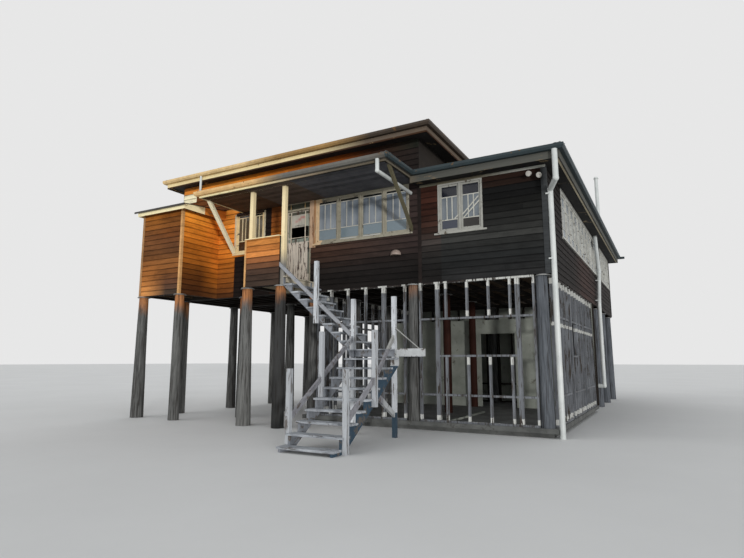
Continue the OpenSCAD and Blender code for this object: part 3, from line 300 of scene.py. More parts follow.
def timber(name, dark, light, grain=LEVEL, bare=None, share=0.0, size=6.0, rough=0.75, regions=(), fades=(),
           ragged=0.0, shine=0.2):
    """Wood or painted wood; share is about how much of the paint has gone, and bare is what shows there.

    Each fade is (X from, X to, colour): towards X to, the colour turns to that one; the fades that darken the
    eaves, struts and gutters are painted shade over the right of the house."""
    n = Look(name)
    fine = n.noise(1.6, grain, 8, 0.65)
    cloud = n.noise(0.9, (1, 1, 1.6), 3)
    shade = n.plus(n.times(fine, 0.75), n.times(cloud, 0.45))
    shade = n.plus(shade, n.times(n.tone(), 0.35))
    colour = n.mix(n.span(shade, 0.35, 0.85), srgb(*dark), srgb(*light))
    # Fades: the darkening ones are painted shade.
    for start, end, paint in fades:
        paint = srgb(*paint)
        wear_and_shade = n.mix(n.span(shade, 0.35, 0.85), dimmed(paint, 0.6), paint)
        colour = n.mix(n.span(n.axis("X"), start + HOME.x, end + HOME.x), colour, wear_and_shade)
    for limits, paint in regions:
        grained = n.mix(n.span(fine, 0.3, 0.8), dimmed(paint, 0.7), paint)
        colour = n.mix(n.inside(limits, ragged), colour, grained)
    height = fine
    if bare:
        bare = srgb(*bare)
        worn = n.noise(size, tuple((0.35 * g + 0.65) / 4 for g in grain), 9, 0.7, 0.6)
        edge = 0.5 + 0.32 * (0.5 - share)
        mask = n.span(worn, edge, edge + 0.035)
        colour = n.mix(mask, colour, n.mix(fine, dimmed(bare, 0.55), bare))
        height = n.less(fine, n.times(mask, 0.8))
    return n.surface({"Base Color": colour, "Roughness": n.span(fine, 0.2, 0.9, rough - 0.12, rough + 0.12),
                      "Specular IOR Level": shine, "Normal": n.bump(height, 0.5, 0.004)})


def stained_boards(name, lapped_up=False):
    """Stained boards: each board's colour as given at its points, painted sunlight and shade included, worn by
    the weather along the grain, with dark stains and faded streaks.

    Where boards lap up a wall, dirt and painted shade darken the top of each one under the next."""
    n = Look(name)
    grain = n.noise(1.7, LEVEL, 8, 0.68)
    cloud = n.noise(1.5, (1, 1, 2.4), 6, 0.7, 0.5)
    shade = n.plus(n.times(grain, 0.9), n.times(cloud, 0.8))
    shade = n.plus(shade, n.times(n.tone(), 0.16))
    least, most = (0.5, 1.75) if lapped_up else (0.45, 1.6)
    colour = n.scaled(n.paint(), n.span(shade, 0.5, 1.2, least, most))
    streak = n.noise(2.6, (1.2, 1.2, 22), 7, 0.7, 0.3)
    colour = n.mix(n.span(streak, 0.60, 0.72, 0, 0.55), colour, n.scaled(n.paint(), 0.35))
    faded = n.span(n.noise(2.0, (1, 1, 16), 7, 0.75), 0.60, 0.75, 0, 0.30)
    colour = n.mix(faded, colour, srgb(96, 92, 88))
    if lapped_up:
        # Painted shade and dirt under each board's lip: the top of each course darkens.
        course = n.maths("FRACT", n.maths("DIVIDE", n.less(n.axis("Z"), WALL_LOW + HOME.z), LAP))
        lap_dirt_and_shade = n.times(n.span(course, 0.72, 0.93), n.span(streak, 0.35, 0.60, 0.4, 0.85))
        colour = n.mix(lap_dirt_and_shade, colour, n.scaled(n.paint(), 0.2))
    return n.surface({"Base Color": colour, "Roughness": n.span(grain, 0.2, 0.9, 0.68, 0.9),
                      "Specular IOR Level": 0.12, "Normal": n.bump(grain, 0.6, 0.004)})


def plain(name, dark, light, scale=3.0, metal=0.0, rough=0.5, stain=None, share=0.3, bump=0.002):
    """Sheet, stone, plastic or metal with soft clouds and stains."""
    n = Look(name)
    cloud = n.noise(scale, (1, 1, 1), 8, 0.6)
    grit = n.noise(scale * 14, (1, 1, 1), 4)
    shade = n.plus(cloud, n.times(n.tone(), 0.25))
    colour = n.mix(n.span(shade, 0.3, 0.75), srgb(*dark), srgb(*light))
    if stain:
        spots = n.noise(scale * 2.3, (1, 1, 1), 9, 0.72, 0.5)
        edge = 0.66 - 0.3 * share
        colour = n.mix(n.span(spots, edge, edge + 0.08), colour, srgb(*stain))
    return n.surface({"Base Color": colour, "Metallic": metal, "Normal": n.bump(grit, 0.35, bump),
                      "Roughness": n.span(grit, 0.2, 0.8, rough - 0.1, rough + 0.1)})


def glass_look(name, dark, light, clear, regions):
    """Old panes, with curtains just seen through them as upright bands."""
    n = Look(name)
    film = n.noise(1.2, (1, 1, 0.7), 5, 0.6, 0.3)
    folds = n.noise(3.6, (1, 1, 0.06), 4, 0.6)
    shade = n.plus(n.times(film, 0.5), n.times(folds, 0.6))
    colour = n.mix(n.span(shade, 0.42, 0.68), srgb(*dark), srgb(*light))
    for limits, paint, *cover in regions:
        share = n.inside(limits)
        colour = n.mix(n.times(share, cover[0]) if cover else share, colour, paint)
    return n.surface({"Base Color": colour, "Roughness": n.span(film, 0.3, 0.7, 0.06, 0.24),
                      "Transmission Weight": clear, "IOR": 1.45, "Specular IOR Level": 0.4})


def stump_look(name):
    """Log worn grey by the weather; on the sunny front stumps the tops under the caps are painted red-brown as
    low sunlight; cracks run along the grain.
    """
    n = Look(name)
    grain = n.noise(2.2, (14, 14, 0.8), 9, 0.7)
    cloud = n.noise(1.7, (1, 1, 0.6), 4)
    grey = n.mix(n.span(n.plus(grain, n.times(n.tone(), 0.3)), 0.32, 0.75),
                 srgb(57, 57, 56), srgb(120, 120, 117))
    cool = n.mix(n.span(grain, 0.32, 0.75), srgb(58, 61, 65), srgb(115, 119, 124))
    grey = n.mix(n.span(n.axis("X"), HOME.x - 1.5, HOME.x - 0.8), grey, cool)
    # Painted low sunlight: red-brown on the tops of the sunny front stumps.
    red = n.mix(n.span(grain, 0.3, 0.75), srgb(112, 72, 46), srgb(204, 140, 90))
    top = n.plus(n.axis("Z"), n.times(cloud, 1.2))
    sunny = n.times(n.span(n.axis("X"), HOME.x - 1.2, HOME.x - 2.2),
                    n.span(n.axis("Y"), HOME.y + 1.4, HOME.y + 0.5))
    sunny = n.times(sunny, n.span(n.axis("X"), HOME.x - 3.6, HOME.x - 5.6, 0.4, 1.0))
    colour = n.mix(n.times(n.span(top, 3.42 + HOME.z, 3.80 + HOME.z), sunny), grey, red)
    crack = n.span(n.noise(3.4, (9, 9, 0.35), 6, 0.55), 0.56, 0.60)
    return n.surface({"Base Color": n.mix(n.times(crack, 0.6), colour, srgb(40, 34, 30)), "Roughness": 0.85,
                      "Specular IOR Level": 0.15, "Normal": n.bump(n.less(grain, crack), 0.7, 0.012)})


# Stretches of the front where paint and panes differ
IN_FRAME, PLATE = (-0.2, 0.2), (3.335, 3.40)
RECESS_X, RECESS_PANES_X, LIGHT_X, BAND_X = (-9.3, -7.9), (-9.3, -8.0), (-7.4, -6.4), (-6.3, -3.1)
CASEMENT_X, LOAD_X, DOOR_X, SIDE_PANE_X = (-2.7, -1.3), (-2.3, -0.8), (-7.20, -6.46), (-6.595, -6.46)
TOP_PANES, MIDDLE_PANES, LOW_PANES, LOW_CASEMENT = (5.79, 5.95), (5.07, 5.79), (4.6, 5.07), (4.5, 4.87)

# Paints, stains and metals
CREAM, CREAM_DARK, BARE = (214, 203, 176), (172, 158, 130), (120, 108, 92)
WHITE, SHADOW = (214, 214, 208), (34, 32, 31)
BOARDS = stained_boards("stained_boards")
LAPPED_BOARDS = stained_boards("lapped_boards", lapped_up=True)
CREAM_TRIM = timber("cream_trim", CREAM_DARK, CREAM, EVEN, BARE, 0.18, 9)
CREAM_POST = timber(
    "cream_post", (226, 200, 154), (254, 238, 192), UPRIGHT, BARE, 0.12, 7,
    regions=[area((150, 146, 138), Z=(3.0, 4.1, 0.2))])
# Main eaves: the fascia darkens to the right as painted shade, a painted shadow line runs along its lower
# edge, and the soffit is painted dark as shade.
HIGH_EAVE = timber(
    "high_eave", (226, 202, 148), (255, 240, 190), LEVEL, (160, 134, 96), 0.14, 7,
    fades=[(-6.4, -4.4, (112, 98, 84))],
    regions=[area((46, 42, 40), X=(LEFT - 0.35, CORE + 0.35), Y=(-0.35, DEPTH + 0.35)),
             area((64, 40, 22), Z=(7.0, 7.112))])
# Lower eaves and canopy beam: the fascias darken towards the right as painted shade, darkest over the wing;
# the wing's soffit strip is painted shadow.
LOW_EAVES = timber(
    "low_eaves", (240, 222, 170), (255, 248, 202), LEVEL, (150, 130, 98), 0.12, 7,
    fades=[(-6.9, -5.8, (206, 184, 152)), (-5.9, -4.6, (120, 110, 94)), (-3.2, -2.9, (88, 88, 82))],
    regions=[area(SHADOW, X=(CORE - 0.3, 0.355), Y=(-0.355, DEPTH + 0.355),
                  Z=(WING_TOP - 0.01, WING_TOP + 0.03))])
# Box room's eave: the back half of its right overhang is painted the sunlit orange of the wall behind, and its
# soffit is painted dark as shade.
BOX_EAVE = timber(
    "box_eave", (240, 220, 170), (255, 246, 202), LEVEL, (140, 122, 96), 0.16, 7,
    regions=[area((222, 134, 52), X=(BOX_X + 0.1, BOX_X + 0.4), Y=(-0.86, 0.1)),
             area((74, 62, 52), X=(LEFT - 0.06, BOX_X + 0.22), Y=(-1.6, 0.1), Z=(5.5, 5.87))])
# Window paint: the recess window's head is painted dark as the canopy's shadow.
WINDOW_PAINT = timber(
    "window_paint", (128, 122, 106), (176, 168, 148), EVEN, (104, 96, 84), 0.22, 9,
    fades=[(-6.6, -4.6, (172, 166, 148))],
    regions=[area((246, 220, 168), X=RECESS_X, Z=(4.6, 5.86)),
             area((58, 46, 38), X=RECESS_X, Z=(5.86, 6.0)),
             area((230, 200, 160), X=(-6.4, -6.0), Z=(4.6, 6.0)),
             area((170, 169, 161), X=(-2.8, -1.2), Y=(-0.2, 0.3))])
SIDE_PAINT = timber("side_paint", (150, 148, 140), (202, 202, 196), EVEN, (104, 98, 90), 0.25, 9)
BAR_PAINT = timber(
    "bar_paint", (168, 166, 156), (206, 204, 194), EVEN, BARE, 0.1, 9,
    regions=[area((252, 234, 190), X=RECESS_X, Y=(-0.2, 0.3)),
             in_wall((206, 174, 126), LIGHT_X, (5.75, 6.0)),
             in_wall((238, 226, 204), LIGHT_X, (4.8, 5.75))])
STAIR_PAINT = timber(
    "stair_paint", (94, 98, 104), (150, 153, 158), EVEN, (104, 97, 90), 0.35, 8,
    regions=[area((58, 77, 92), X=(-2.96, -2.88), Y=(-4.3, -1.62)),
             area((198, 200, 200), X=(-3.00, -2.25), Z=(1.4, 1.8))])
NEWEL_PAINT = timber(
    "newel_paint", (160, 163, 167), (222, 225, 227), UPRIGHT, (116, 110, 106), 0.32, 7,
    regions=[area((184, 187, 190), Y=(-4.6, -1.75)),
             area((56, 73, 86), X=(-3.2, -2.95), Y=(-1.7, -1.4), Z=(-0.2, 0.42))])
TREAD_WOOD = timber("tread_wood", (78, 82, 88), (196, 200, 204), (3, 12, 12), (106, 103, 101), 0.26, 8)
RAIL_WOOD = timber(
    "rail_wood", (92, 91, 95), (154, 154, 158), EVEN, (98, 90, 84), 0.3, 9,
    regions=[area((160, 162, 166), X=(-6.4, -4.05), Z=(1.8, 4.6)),
             area((186, 188, 188), X=(-3.2, -2.8), Y=(-2.2, -1.2), Z=(0.2, 1.15)),
             area((170, 170, 166), X=(-3.1, -2.2), Z=(1.75, 2.4))])
# Struts: the right strut is painted dark brown as shade.
STRUT_PAINT = timber(
    "strut_paint", (248, 232, 190), (255, 250, 220), UPRIGHT, BARE, 0.14, 7,
    fades=[(-4.6, -4.4, (104, 98, 76))])

# Stud ends left light in the store's top plate, as (X, half width)
PAINTED_ENDS = ((-5.70, 0.09), (-5.18, 0.09), (-4.65, 0.09), (-4.12, 0.13), (-3.50, 0.08), (-3.08, 0.06),
                (-2.64, 0.08), (-2.43, 0.05))

STORE_PAINT = timber(
    "store_paint", (60, 61, 64), (134, 137, 141), UPRIGHT, (74, 68, 62), 0.38, 7, ragged=0.03, shine=0.15,
    regions=[area((52, 46, 44), Z=PLATE),
             area(WHITE, Z=(3.20, 3.335)),
             area(WHITE, Z=(0.15, 0.26)),
             area(WHITE, X=LOAD_X, Y=IN_FRAME, Z=(2.53, 2.66)),
             area(WHITE, X=LOAD_X, Y=IN_FRAME, Z=(1.42, 1.585)),
             area(WHITE, X=(-1.9, -0.3), Y=IN_FRAME, Z=PLATE),
             area(WHITE, X=IN_FRAME, Z=(2.28, 2.36)),
             *(area(WHITE, X=(x - w, x + w), Y=IN_FRAME, Z=PLATE) for x, w in PAINTED_ENDS)])
RAW_TIMBER = timber("frame_timber", (28, 26, 24), (56, 50, 45), shine=0.1)
FLOOR_WOOD = timber(
    "floor_boards", (66, 54, 44), (112, 94, 76), shine=0.1,
    regions=[area((206, 196, 174), X=(-7.3, -5.6), Y=(-1.6, -0.02), Z=(3.3, 3.63))])
DOOR_PAINT = timber(
    "door_paint", (178, 166, 152), (236, 224, 208), UPRIGHT, (86, 68, 58), 0.40, 8,
    regions=[area((150, 150, 134), X=(-7.20, -7.105), Z=(4.95, 5.62)),
             area((90, 94, 82), X=SIDE_PANE_X, Z=(4.95, 5.27)),
             area((190, 194, 180), X=SIDE_PANE_X, Z=(5.27, 5.62)),
             # Painted shadow of the jamb down the leaf's lower right edge.
             area((124, 128, 116), X=(-6.53, -6.42), Z=(3.9, 4.8)),
             area((150, 158, 146), X=DOOR_X, Z=(4.835, 4.935)),
             area((92, 92, 80), X=DOOR_X, Z=(5.635, 5.72))])
# Gutters: warm tan on the left as painted low sunlight, darkening to the right as painted shade, darkest on
# the wing.
GUTTER = timber(
    "gutter_sheet", (184, 154, 106), (244, 212, 156), EVEN, (112, 84, 52), 0.12, rough=0.55,
    fades=[(-8.6, -7.2, (176, 138, 84)), (-5.6, -4.2, (70, 60, 50))],
    regions=[area((234, 192, 132), X=(-9.2, -6.4, 0.5), Z=(5.5, 6.6)),
             area((112, 110, 104), X=(-6.4, CORE - 0.02, 0.5), Z=(5.5, 6.6)),
             area((54, 65, 68), X=(CORE - 0.02, 1.0), Z=(5.5, 6.6))])
LINING = plain("lining_paint", (118, 121, 112), (154, 157, 147), 1.4, 0, 0.75, (84, 78, 68), 0.2)
CONCRETE = plain("concrete", (66, 67, 65), (102, 103, 100), 2.2, 0, 0.9, (62, 60, 56))
ROOF_SHEET = plain("roof_sheet", (96, 98, 100), (150, 152, 152), 0.9, 0.25, 0.55, (104, 78, 60), 0.12)
ZINC = plain("zinc_sheet", (112, 112, 110), (166, 166, 164), 3, 0.4, 0.5, (108, 92, 76), 0.2)
DARK_METAL = plain("dark_metal", (44, 42, 40), (74, 70, 66), 4, 0.5, 0.5)
PLASTIC = plain("white_plastic", (176, 180, 178), (214, 216, 212), 1.6, 0, 0.45, (150, 144, 130), 0.12)
LAMP_METAL = plain("lamp_metal", (150, 146, 138), (196, 192, 184), 6, 0.2, 0.45, (96, 84, 72), 0.3)
VENT_METAL = plain("vent_metal", (138, 122, 112), (172, 154, 142), 5, 0.1, 0.5, (120, 96, 76), 0.2)
# Window glass: the top panes are painted dark as shade under the canopy and window heads, and the band's low
# panes a lighter blue as lit glass.
GLASS = glass_look("window_glass", (100, 110, 120), (160, 168, 176), 0.2, [
    in_wall((38, 40, 42), (-12, -7.4), TOP_PANES),
    in_wall((84, 86, 74), (-7.4, -6.3), (5.6, 5.95)),
    in_wall((38, 40, 42), BAND_X, TOP_PANES),
    in_wall((122, 138, 146), BAND_X, LOW_PANES),
    in_wall((66, 44, 32), RECESS_PANES_X, LOW_PANES),
    in_wall((104, 94, 76), RECESS_PANES_X, MIDDLE_PANES),
    in_wall((186, 190, 176), (-6.62, -6.40), (5.27, 5.63)),
    in_wall((60, 68, 70), CASEMENT_X, (4.87, 5.46), 0.5),
    in_wall((8, 14, 30), CASEMENT_X, (5.46, 5.8)),
    in_wall((56, 62, 76), (-2.7, -2.0), LOW_CASEMENT),
    in_wall((34, 30, 26), (-2.0, -1.3), LOW_CASEMENT)])
STUMP = stump_look("stump_log")

LOOKS = {
    "concrete": CONCRETE, "stump_log": STUMP, "zinc_sheet": ZINC, "frame_timber": RAW_TIMBER,
    "floor_boards": FLOOR_WOOD, "dark_boards": RAW_TIMBER, "orange_boards": RAW_TIMBER,
    "roof_sheet": ROOF_SHEET, "cream_trim": CREAM_TRIM, "gutter_sheet": GUTTER, "window_glass": GLASS,
    "door_paint": DOOR_PAINT, "stair_paint": STAIR_PAINT, "store_paint": STORE_PAINT,
    "lining_paint": LINING, "white_plastic": PLASTIC, "lamp_metal": LAMP_METAL, "vent_metal": VENT_METAL,
}
NODE_LOOKS = {
    "stair_newels": NEWEL_PAINT, "lower_treads": TREAD_WOOD, "upper_treads": TREAD_WOOD,
    "landing_deck": TREAD_WOOD, "stair_rails": RAIL_WOOD, "porch_posts": CREAM_POST,
    "canopy_struts": STRUT_PAINT, "main_eaves": HIGH_EAVE, "lower_eaves": LOW_EAVES,
    "canopy_beam": LOW_EAVES, "front_windows": WINDOW_PAINT, "box_roof": BOX_EAVE,
    "side_windows": SIDE_PAINT, "rear_windows": WINDOW_PAINT, "door_frame": WINDOW_PAINT,
}
for part in frame["record"]["subparts"]:
    node = frame["nodes"][part["node"]]
    look = NODE_LOOKS.get(part["node"]) or LOOKS[part["material_slot"]]
    if not node.material_slots:
        node.data.materials.append(look)
    for place in node.material_slots:
        place.material = look


# Faces of the walls: each turns a place along it, a distance out and a height into a point
def across(y, way):
    return lambda u, out, z: (u, y + way * out, z)


def deep(x, way):
    return lambda u, out, z: (x + way * out, u, z)


front, back, box_front, half_front = across(0, -1), across(DEPTH, 1), across(PORCH_Y, -1), across(HALF_Y, -1)
left, right, box_right, half_left = deep(LEFT, -1), deep(0, 1), deep(BOX_X, 1), deep(PORCH_X0, -1)


def target(r, g, b):
    """Paint that comes out close to the given colour once it is lit."""
    return tuple(max(0.85 * c - 0.004, 0.004) for c in srgb(r, g, b)[:3]) + (1.0,)


def ramp(at, *stops):
    """Colour at a place between stops of (place, colour)."""
    if at <= stops[0][0]:
        return stops[0][1]
    for (a, one), (b, two) in zip(stops, stops[1:]):
        if at <= b:
            t = (at - a) / (b - a)
            return tuple(p + (q - p) * t for p, q in zip(one, two))
    return stops[-1][1]


# Lapped boards
def board(build, place, marks, z, course, tone, colour):
    """One board piece through the marks: thick at the bottom of its course, thin at the top."""
    def out(height):
        return 0.019 - 0.013 * (height - course) / LAP
    profile = [(0.0005, z[0]), (out(z[0]), z[0]), (out(z[1]), z[1]), (0.0005, z[1])]
    rings = [[Vector(place(at, o, h)) for o, h in profile] for at in marks]
    paints = [target(*colour(at, course + LAP / 2)) for at in marks]
    normal = (rings[0][1] - rings[0][0]).cross(rings[0][2] - rings[0][1])
    if normal.dot(rings[-1][0] - rings[0][0]) < 0:
        rings, paints = rings[::-1], paints[::-1]
    first = len(build.points)
    for ring, paint in zip(rings, paints):
        build.paint = paint
        build.add(ring)
    build.faces.append([first + i for i in (3, 2, 1, 0)])
    last = first + 4 * (len(rings) - 1)
    build.faces.append([last + i for i in range(4)])
    for k in range(first, last, 4):
        for i in range(4):
            j = (i + 1) % 4
            build.faces.append([k + i, k + j, k + 4 + j, k + 4 + i])
    build.tones += [tone] * (4 * len(rings) - 2)


def stretches(u, holes, joints, z):
    """Lengths of board between the holes and the butt joints, over the heights z."""
    cuts = sorted(hole[0] for hole in holes if hole[1][0] < z[1] - 1e-4 and hole[1][1] > z[0] + 1e-4)
    edges = [u[0]] + [e for cut in cuts for e in cut] + [u[1]]
    for a, b in zip(edges[::2], edges[1::2]):
        stops = [a] + [j for j in joints if a + 0.02 < j < b - 0.02] + [b]
        yield from ((s, t) for s, t in zip(stops, stops[1:]) if t - s > 0.004)


def lapped(name, place, u, high, colour, holes=(), breaks=(), slot="dark_boards"):
    """Covers a wall between u, up to high, with lapped boards cut round the holes, butt jointed now and then.

    colour(u, z) gives each place's colour; at a break it changes at once."""
    build = Build()
    course = WALL_LOW
    while course < high - 0.01:
        top = min(course + LAP, high)
        joints = [u[0]]
        while joints[-1] < u[1] - 2.2:
            joints.append(min(u[1], joints[-1] + rng.uniform(2.1, 4.9)))
        joints = [j for j in joints[1:] if j < u[1] - 0.5]
        tones = [rng.uniform(-1, 1) for _ in range(len(joints) + 1)]
        levels = sorted({course, top} | {h for hole in holes for h in hole[1] if course < h < top})
        for z in zip(levels, levels[1:]):
            for s, t in stretches(u, holes, joints, z):
                count = max(1, round((t - s) / 0.6))
                marks = {s + 0.001 + (t - s - 0.002) * i / count for i in range(count + 1)}
                marks |= {m + d for m in breaks for d in (-0.012, 0.012) if s + 0.03 < m < t - 0.03}
                tone = tones[sum(j <= s + 0.01 for j in joints)]
                board(build, place, sorted(marks), z, course, tone, colour)
        course += LAP
    return build.make(name, LAPPED_BOARDS, slot)


# Where the front's colour changes at once: the cream patch's end, the edges of the painted sunlight and shadow
# by the porch, and the casements
FRIEZE_END, RECESS_SUN_END, SHADE_END, CASEMENT_END = -10.92, -9.17, -7.78, -2.5


# The front's boards: dark stain with painted low sunlight in orange on the left (high frieze, recess wall,
# beside the door), the porch's painted shadow on the recess wall, and painted shade darkening the middle and
# the wing.
def front_stain_and_light(u, z):
    if 6.55 < z < 6.9 and u < FRIEZE_END:
        return 255, 244, 205
    if z > 6.9:
        return ramp(u, (LEFT, (232, 144, 62)), (-9.3, (240, 150, 58)), (-8.3, (214, 124, 42)),
                    (-6.4, (182, 102, 36)), (-5.4, (134, 68, 24)), (-4.4, (62, 40, 32)), (CORE, (44, 46, 40)))
    if z > 6.2:
        return ramp(u, (LEFT, (120, 70, 34)), (-8.5, (70, 42, 28)), (CORE, (40, 35, 33)))
    if u < RECESS_SUN_END or (u < -9.1 and z > 4.65):
        return ramp(z, (3.4, (84, 52, 32)), (3.8, (150, 88, 40)), (4.5, (204, 120, 44)),
                    (5.5, (244, 152, 60)), (5.8, (252, 162, 66)))
    if u < SHADE_END:
        return 38, 32, 30
    if u < -7.0:
        return ramp(z, (4.2, (60, 40, 30)), (4.6, (186, 110, 50)), (5.2, (176, 104, 44)),
                    (5.5, (150, 86, 42)), (5.8, (120, 70, 36)))
    if u < CORE:
        red = ramp(u, (-6.1, (80, 58, 48)), (-4.0, (66, 54, 50)), (CORE, (60, 50, 48)))
        low = ramp(u, (-6.1, (40, 36, 34)), (-4.5, (36, 33, 32)), (CORE, (28, 26, 25)))
        return ramp(z, (3.9, low), (4.4, red))
    if u < CASEMENT_END:
        return ramp(z, (3.5, (36, 34, 33)), (3.9, (37, 36, 35)), (4.4, (64, 58, 55)), (4.7, (60, 44, 38)),
                    (5.2, (64, 40, 33)))
    return ramp(z, (3.46, (46, 46, 46)), (3.9, (38, 39, 39)), (4.4, (56, 56, 54)), (4.9, (32, 32, 31)),
                (5.45, (21, 21, 20)), (5.65, (46, 33, 28)))


# The box room's front and left side: orange as painted low sunlight, brightest at the outer corner and the
# top, darker at the foot.
def box_front_stain_and_light(u, z):
    outer = ramp(z, (3.4, (196, 134, 76)), (3.7, (198, 128, 66)), (4.0, (170, 106, 52)), (4.3, (144, 90, 46)),
                 (4.9, (112, 72, 42)), (5.2, (116, 72, 40)), (5.5, (160, 98, 42)), (5.8, (188, 116, 50)))
    inner = ramp(z, (3.4, (50, 44, 38)), (3.7, (104, 70, 52)), (4.0, (122, 76, 42)), (4.3, (138, 88, 46)),
                 (4.6, (112, 72, 42)), (4.9, (104, 66, 40)), (5.2, (116, 68, 34)), (5.5, (124, 76, 36)),
                 (5.8, (146, 86, 34)))
    return ramp(u, (LEFT + 0.35, outer), (LEFT + 1.1, inner))


# The box room's right side: orange as painted low sunlight, strongest at the top and towards the back, darker
# low down at the front.
def box_right_stain_and_light(u, z):
    near = ramp(z, (3.4, (72, 44, 28)), (3.8, (92, 54, 28)), (4.3, (146, 86, 34)), (4.8, (196, 114, 40)),
                (5.4, (240, 146, 52)), (5.8, (252, 164, 62)))
    far = ramp(z, (3.4, (92, 58, 34)), (4.0, (196, 116, 42)), (5.0, (220, 130, 46)), (5.8, (220, 130, 48)))
    return ramp(u, (-0.6, near), (-0.1, far))


# The porch half wall: orange as painted low sunlight on its upper courses, darker below.
def half_stain_and_light(u, z):
    return ramp(z, (3.42, (66, 54, 46)), (3.75, (78, 60, 50)), (4.05, (136, 86, 54)), (4.2, (196, 126, 68)),
                (4.35, (200, 124, 62)), (4.6, (204, 134, 68)))


def right_paint(u, z):
    return ramp(u, (0, (34, 32, 31)), (3.5, (36, 32, 30)), (5.0, (56, 42, 38)), (7.6, (54, 42, 38)),
                (8.4, (40, 36, 34)), (DEPTH, (42, 38, 36)))


# The left wall: warm near the front as the box's painted sunlight carried round the corner, fading back to the
# dark stain.
def left_stain_and_light(u, z):
    return ramp(u, (0, (112, 72, 42)), (2.5, (78, 56, 44)), (6.0, (54, 45, 40)))


def plain_paint(u, z):
    return 52, 44, 40


lapped("front_boards", front, (LEFT, CORE), CORE_TOP, front_stain_and_light,
       [RECESS, BAND, DOOR_HOLE, BOX_MEETS], (FRIEZE_END, RECESS_SUN_END, SHADE_END))
lapped("wing_front_boards", front, (CORE, 0), WING_TOP, front_stain_and_light, [CASEMENTS], (CASEMENT_END,))
lapped("right_boards", right, (0, DEPTH), WING_TOP, right_paint, RIGHT_WINDOWS)
lapped("left_boards", left, (0, DEPTH), CORE_TOP, left_stain_and_light, LEFT_WINDOWS)
lapped("back_boards", back, (LEFT, CORE), CORE_TOP, plain_paint, BACK_WINDOWS)
lapped("back_wing_boards", back, (CORE, 0), WING_TOP, plain_paint, [BACK_WING_WINDOW])
lapped("box_front_boards", box_front, (LEFT, BOX_X), BOX_TOP, box_front_stain_and_light, slot="orange_boards")
lapped("box_right_boards", box_right, (PORCH_Y, 0), BOX_TOP, box_right_stain_and_light, slot="orange_boards")
lapped("box_left_boards", left, (PORCH_Y, 0), BOX_TOP, box_front_stain_and_light, slot="orange_boards")
lapped("porch_front_boards", half_front, (PORCH_X0, HALF_X1), HALF_TOP, half_stain_and_light, slot="orange_boards")
lapped("porch_left_boards", half_left, (HALF_Y, 0), HALF_TOP, half_stain_and_light, slot="orange_boards")


def on_wall(build, place, u, out, z):
    """A box against the face of a wall, between two distances out from it."""
    p, q = place(u[0], out[0], z[0]), place(u[1], out[1], z[1])
    build.box(sorted((p[0], q[0])), sorted((p[1], q[1])), z)


# Corner boards, posts, casings and mouldings, proud of the boards
def trims(name, look, parts, slot="cream_trim", bevel=0.002):
    """One piece of flat boards; each part is (face, u, z, out) and, from where it changes, the paint."""
    build = Build()
    for place, u, z, out, *paint in parts:
        if paint:
            build.paint = target(*paint[0])
        on_wall(build, place, u, (0, out), z)
    build.make(name, look, slot, bevel=bevel)


def casing(place, window, width=0.07, head=0.085, out=0.027):
    (a, b), (low, high) = window
    side = (low - 0.04, high + head)
    return [(place, (a - width, a), side, out), (place, (b, b + width), side, out),
            (place, (a, b), (high, high + head), out)]


(RECESS_LEFT, RECESS_RIGHT), (RECESS_LOW, _) = RECESS
trims("right_window_casings", SIDE_PAINT,
      [part for window in RIGHT_WINDOWS for part in casing(right, window, 0.05, 0.045)])
trims("window_casings", CREAM_TRIM, [
    (front, (RECESS_LEFT - 0.05, RECESS_LEFT), (RECESS_LOW - 0.04, 5.92), 0.024),
    (front, (RECESS_RIGHT, RECESS_RIGHT + 0.05), (RECESS_LOW - 0.04, 5.92), 0.024),
    *(part for window in LEFT_WINDOWS for part in casing(left, window)),
    *(part for window in BACK_WINDOWS for part in casing(back, window)),
    *casing(back, BACK_WING_WINDOW, head=0.04)])
# Head boards over the band and left of the casements: grey-brown, darkened as painted shade under the canopy
# and eave.
trims("head_boards", timber("head_paint", (84, 82, 70), (124, 120, 102), LEVEL, BARE, 0.2), [
    (front, (-6.34, CORE - 0.03), (BAND[1][1], BAND[1][1] + 0.095), 0.024),
    (front, (CORE + 0.02, CASEMENTS[0][0] - 0.02), (5.79, 5.85), 0.034)])
trims("wall_top_moulding", timber("moulding_paint", (84, 78, 64), (130, 122, 102), EVEN, BARE, 0.1,
                                  fades=[(-1.5, -0.7, (190, 190, 180))]),
      [(front, (CASEMENTS[0][0] - 0.02, 0.02), (5.795, 5.85), 0.040)], bevel=0.004)
trims("window_end_post", timber("stained_post", (130, 96, 66), (198, 152, 110), UPRIGHT, CREAM, 0.3, 8),
      [(front, (-6.265, -6.195), (4.60, 5.95), 0.022)])
trims("door_side_post", timber("worn_post", (156, 128, 104), (224, 190, 158), UPRIGHT, (140, 96, 66), 0.3, 8),
      [(front, (-6.400, -6.270), (4.60, 5.98), 0.030)])
trims("dark_corner_boards", BOARDS, [
    (front, (CORE - 0.045, CORE + 0.045), (WALL_LOW, LOW_EAVE), 0.024, (44, 38, 36)),
    (left, (DEPTH - 0.09, DEPTH), (WALL_LOW, CORE_TOP), 0.028),
    (left, (0, 0.09), (BOX_TOP + 0.35, CORE_TOP), 0.028),
    (box_front, (LEFT - 0.026, LEFT + 0.05), BOX_WALL, 0.028, (172, 132, 92)),
    (front, (-0.09, 0.026), WING_WALL, 0.028, (62, 64, 65)),
    (right, (0, 0.09), WING_WALL, 0.028),
    (right, (DEPTH - 0.09, DEPTH), WING_WALL, 0.028)], "dark_boards")

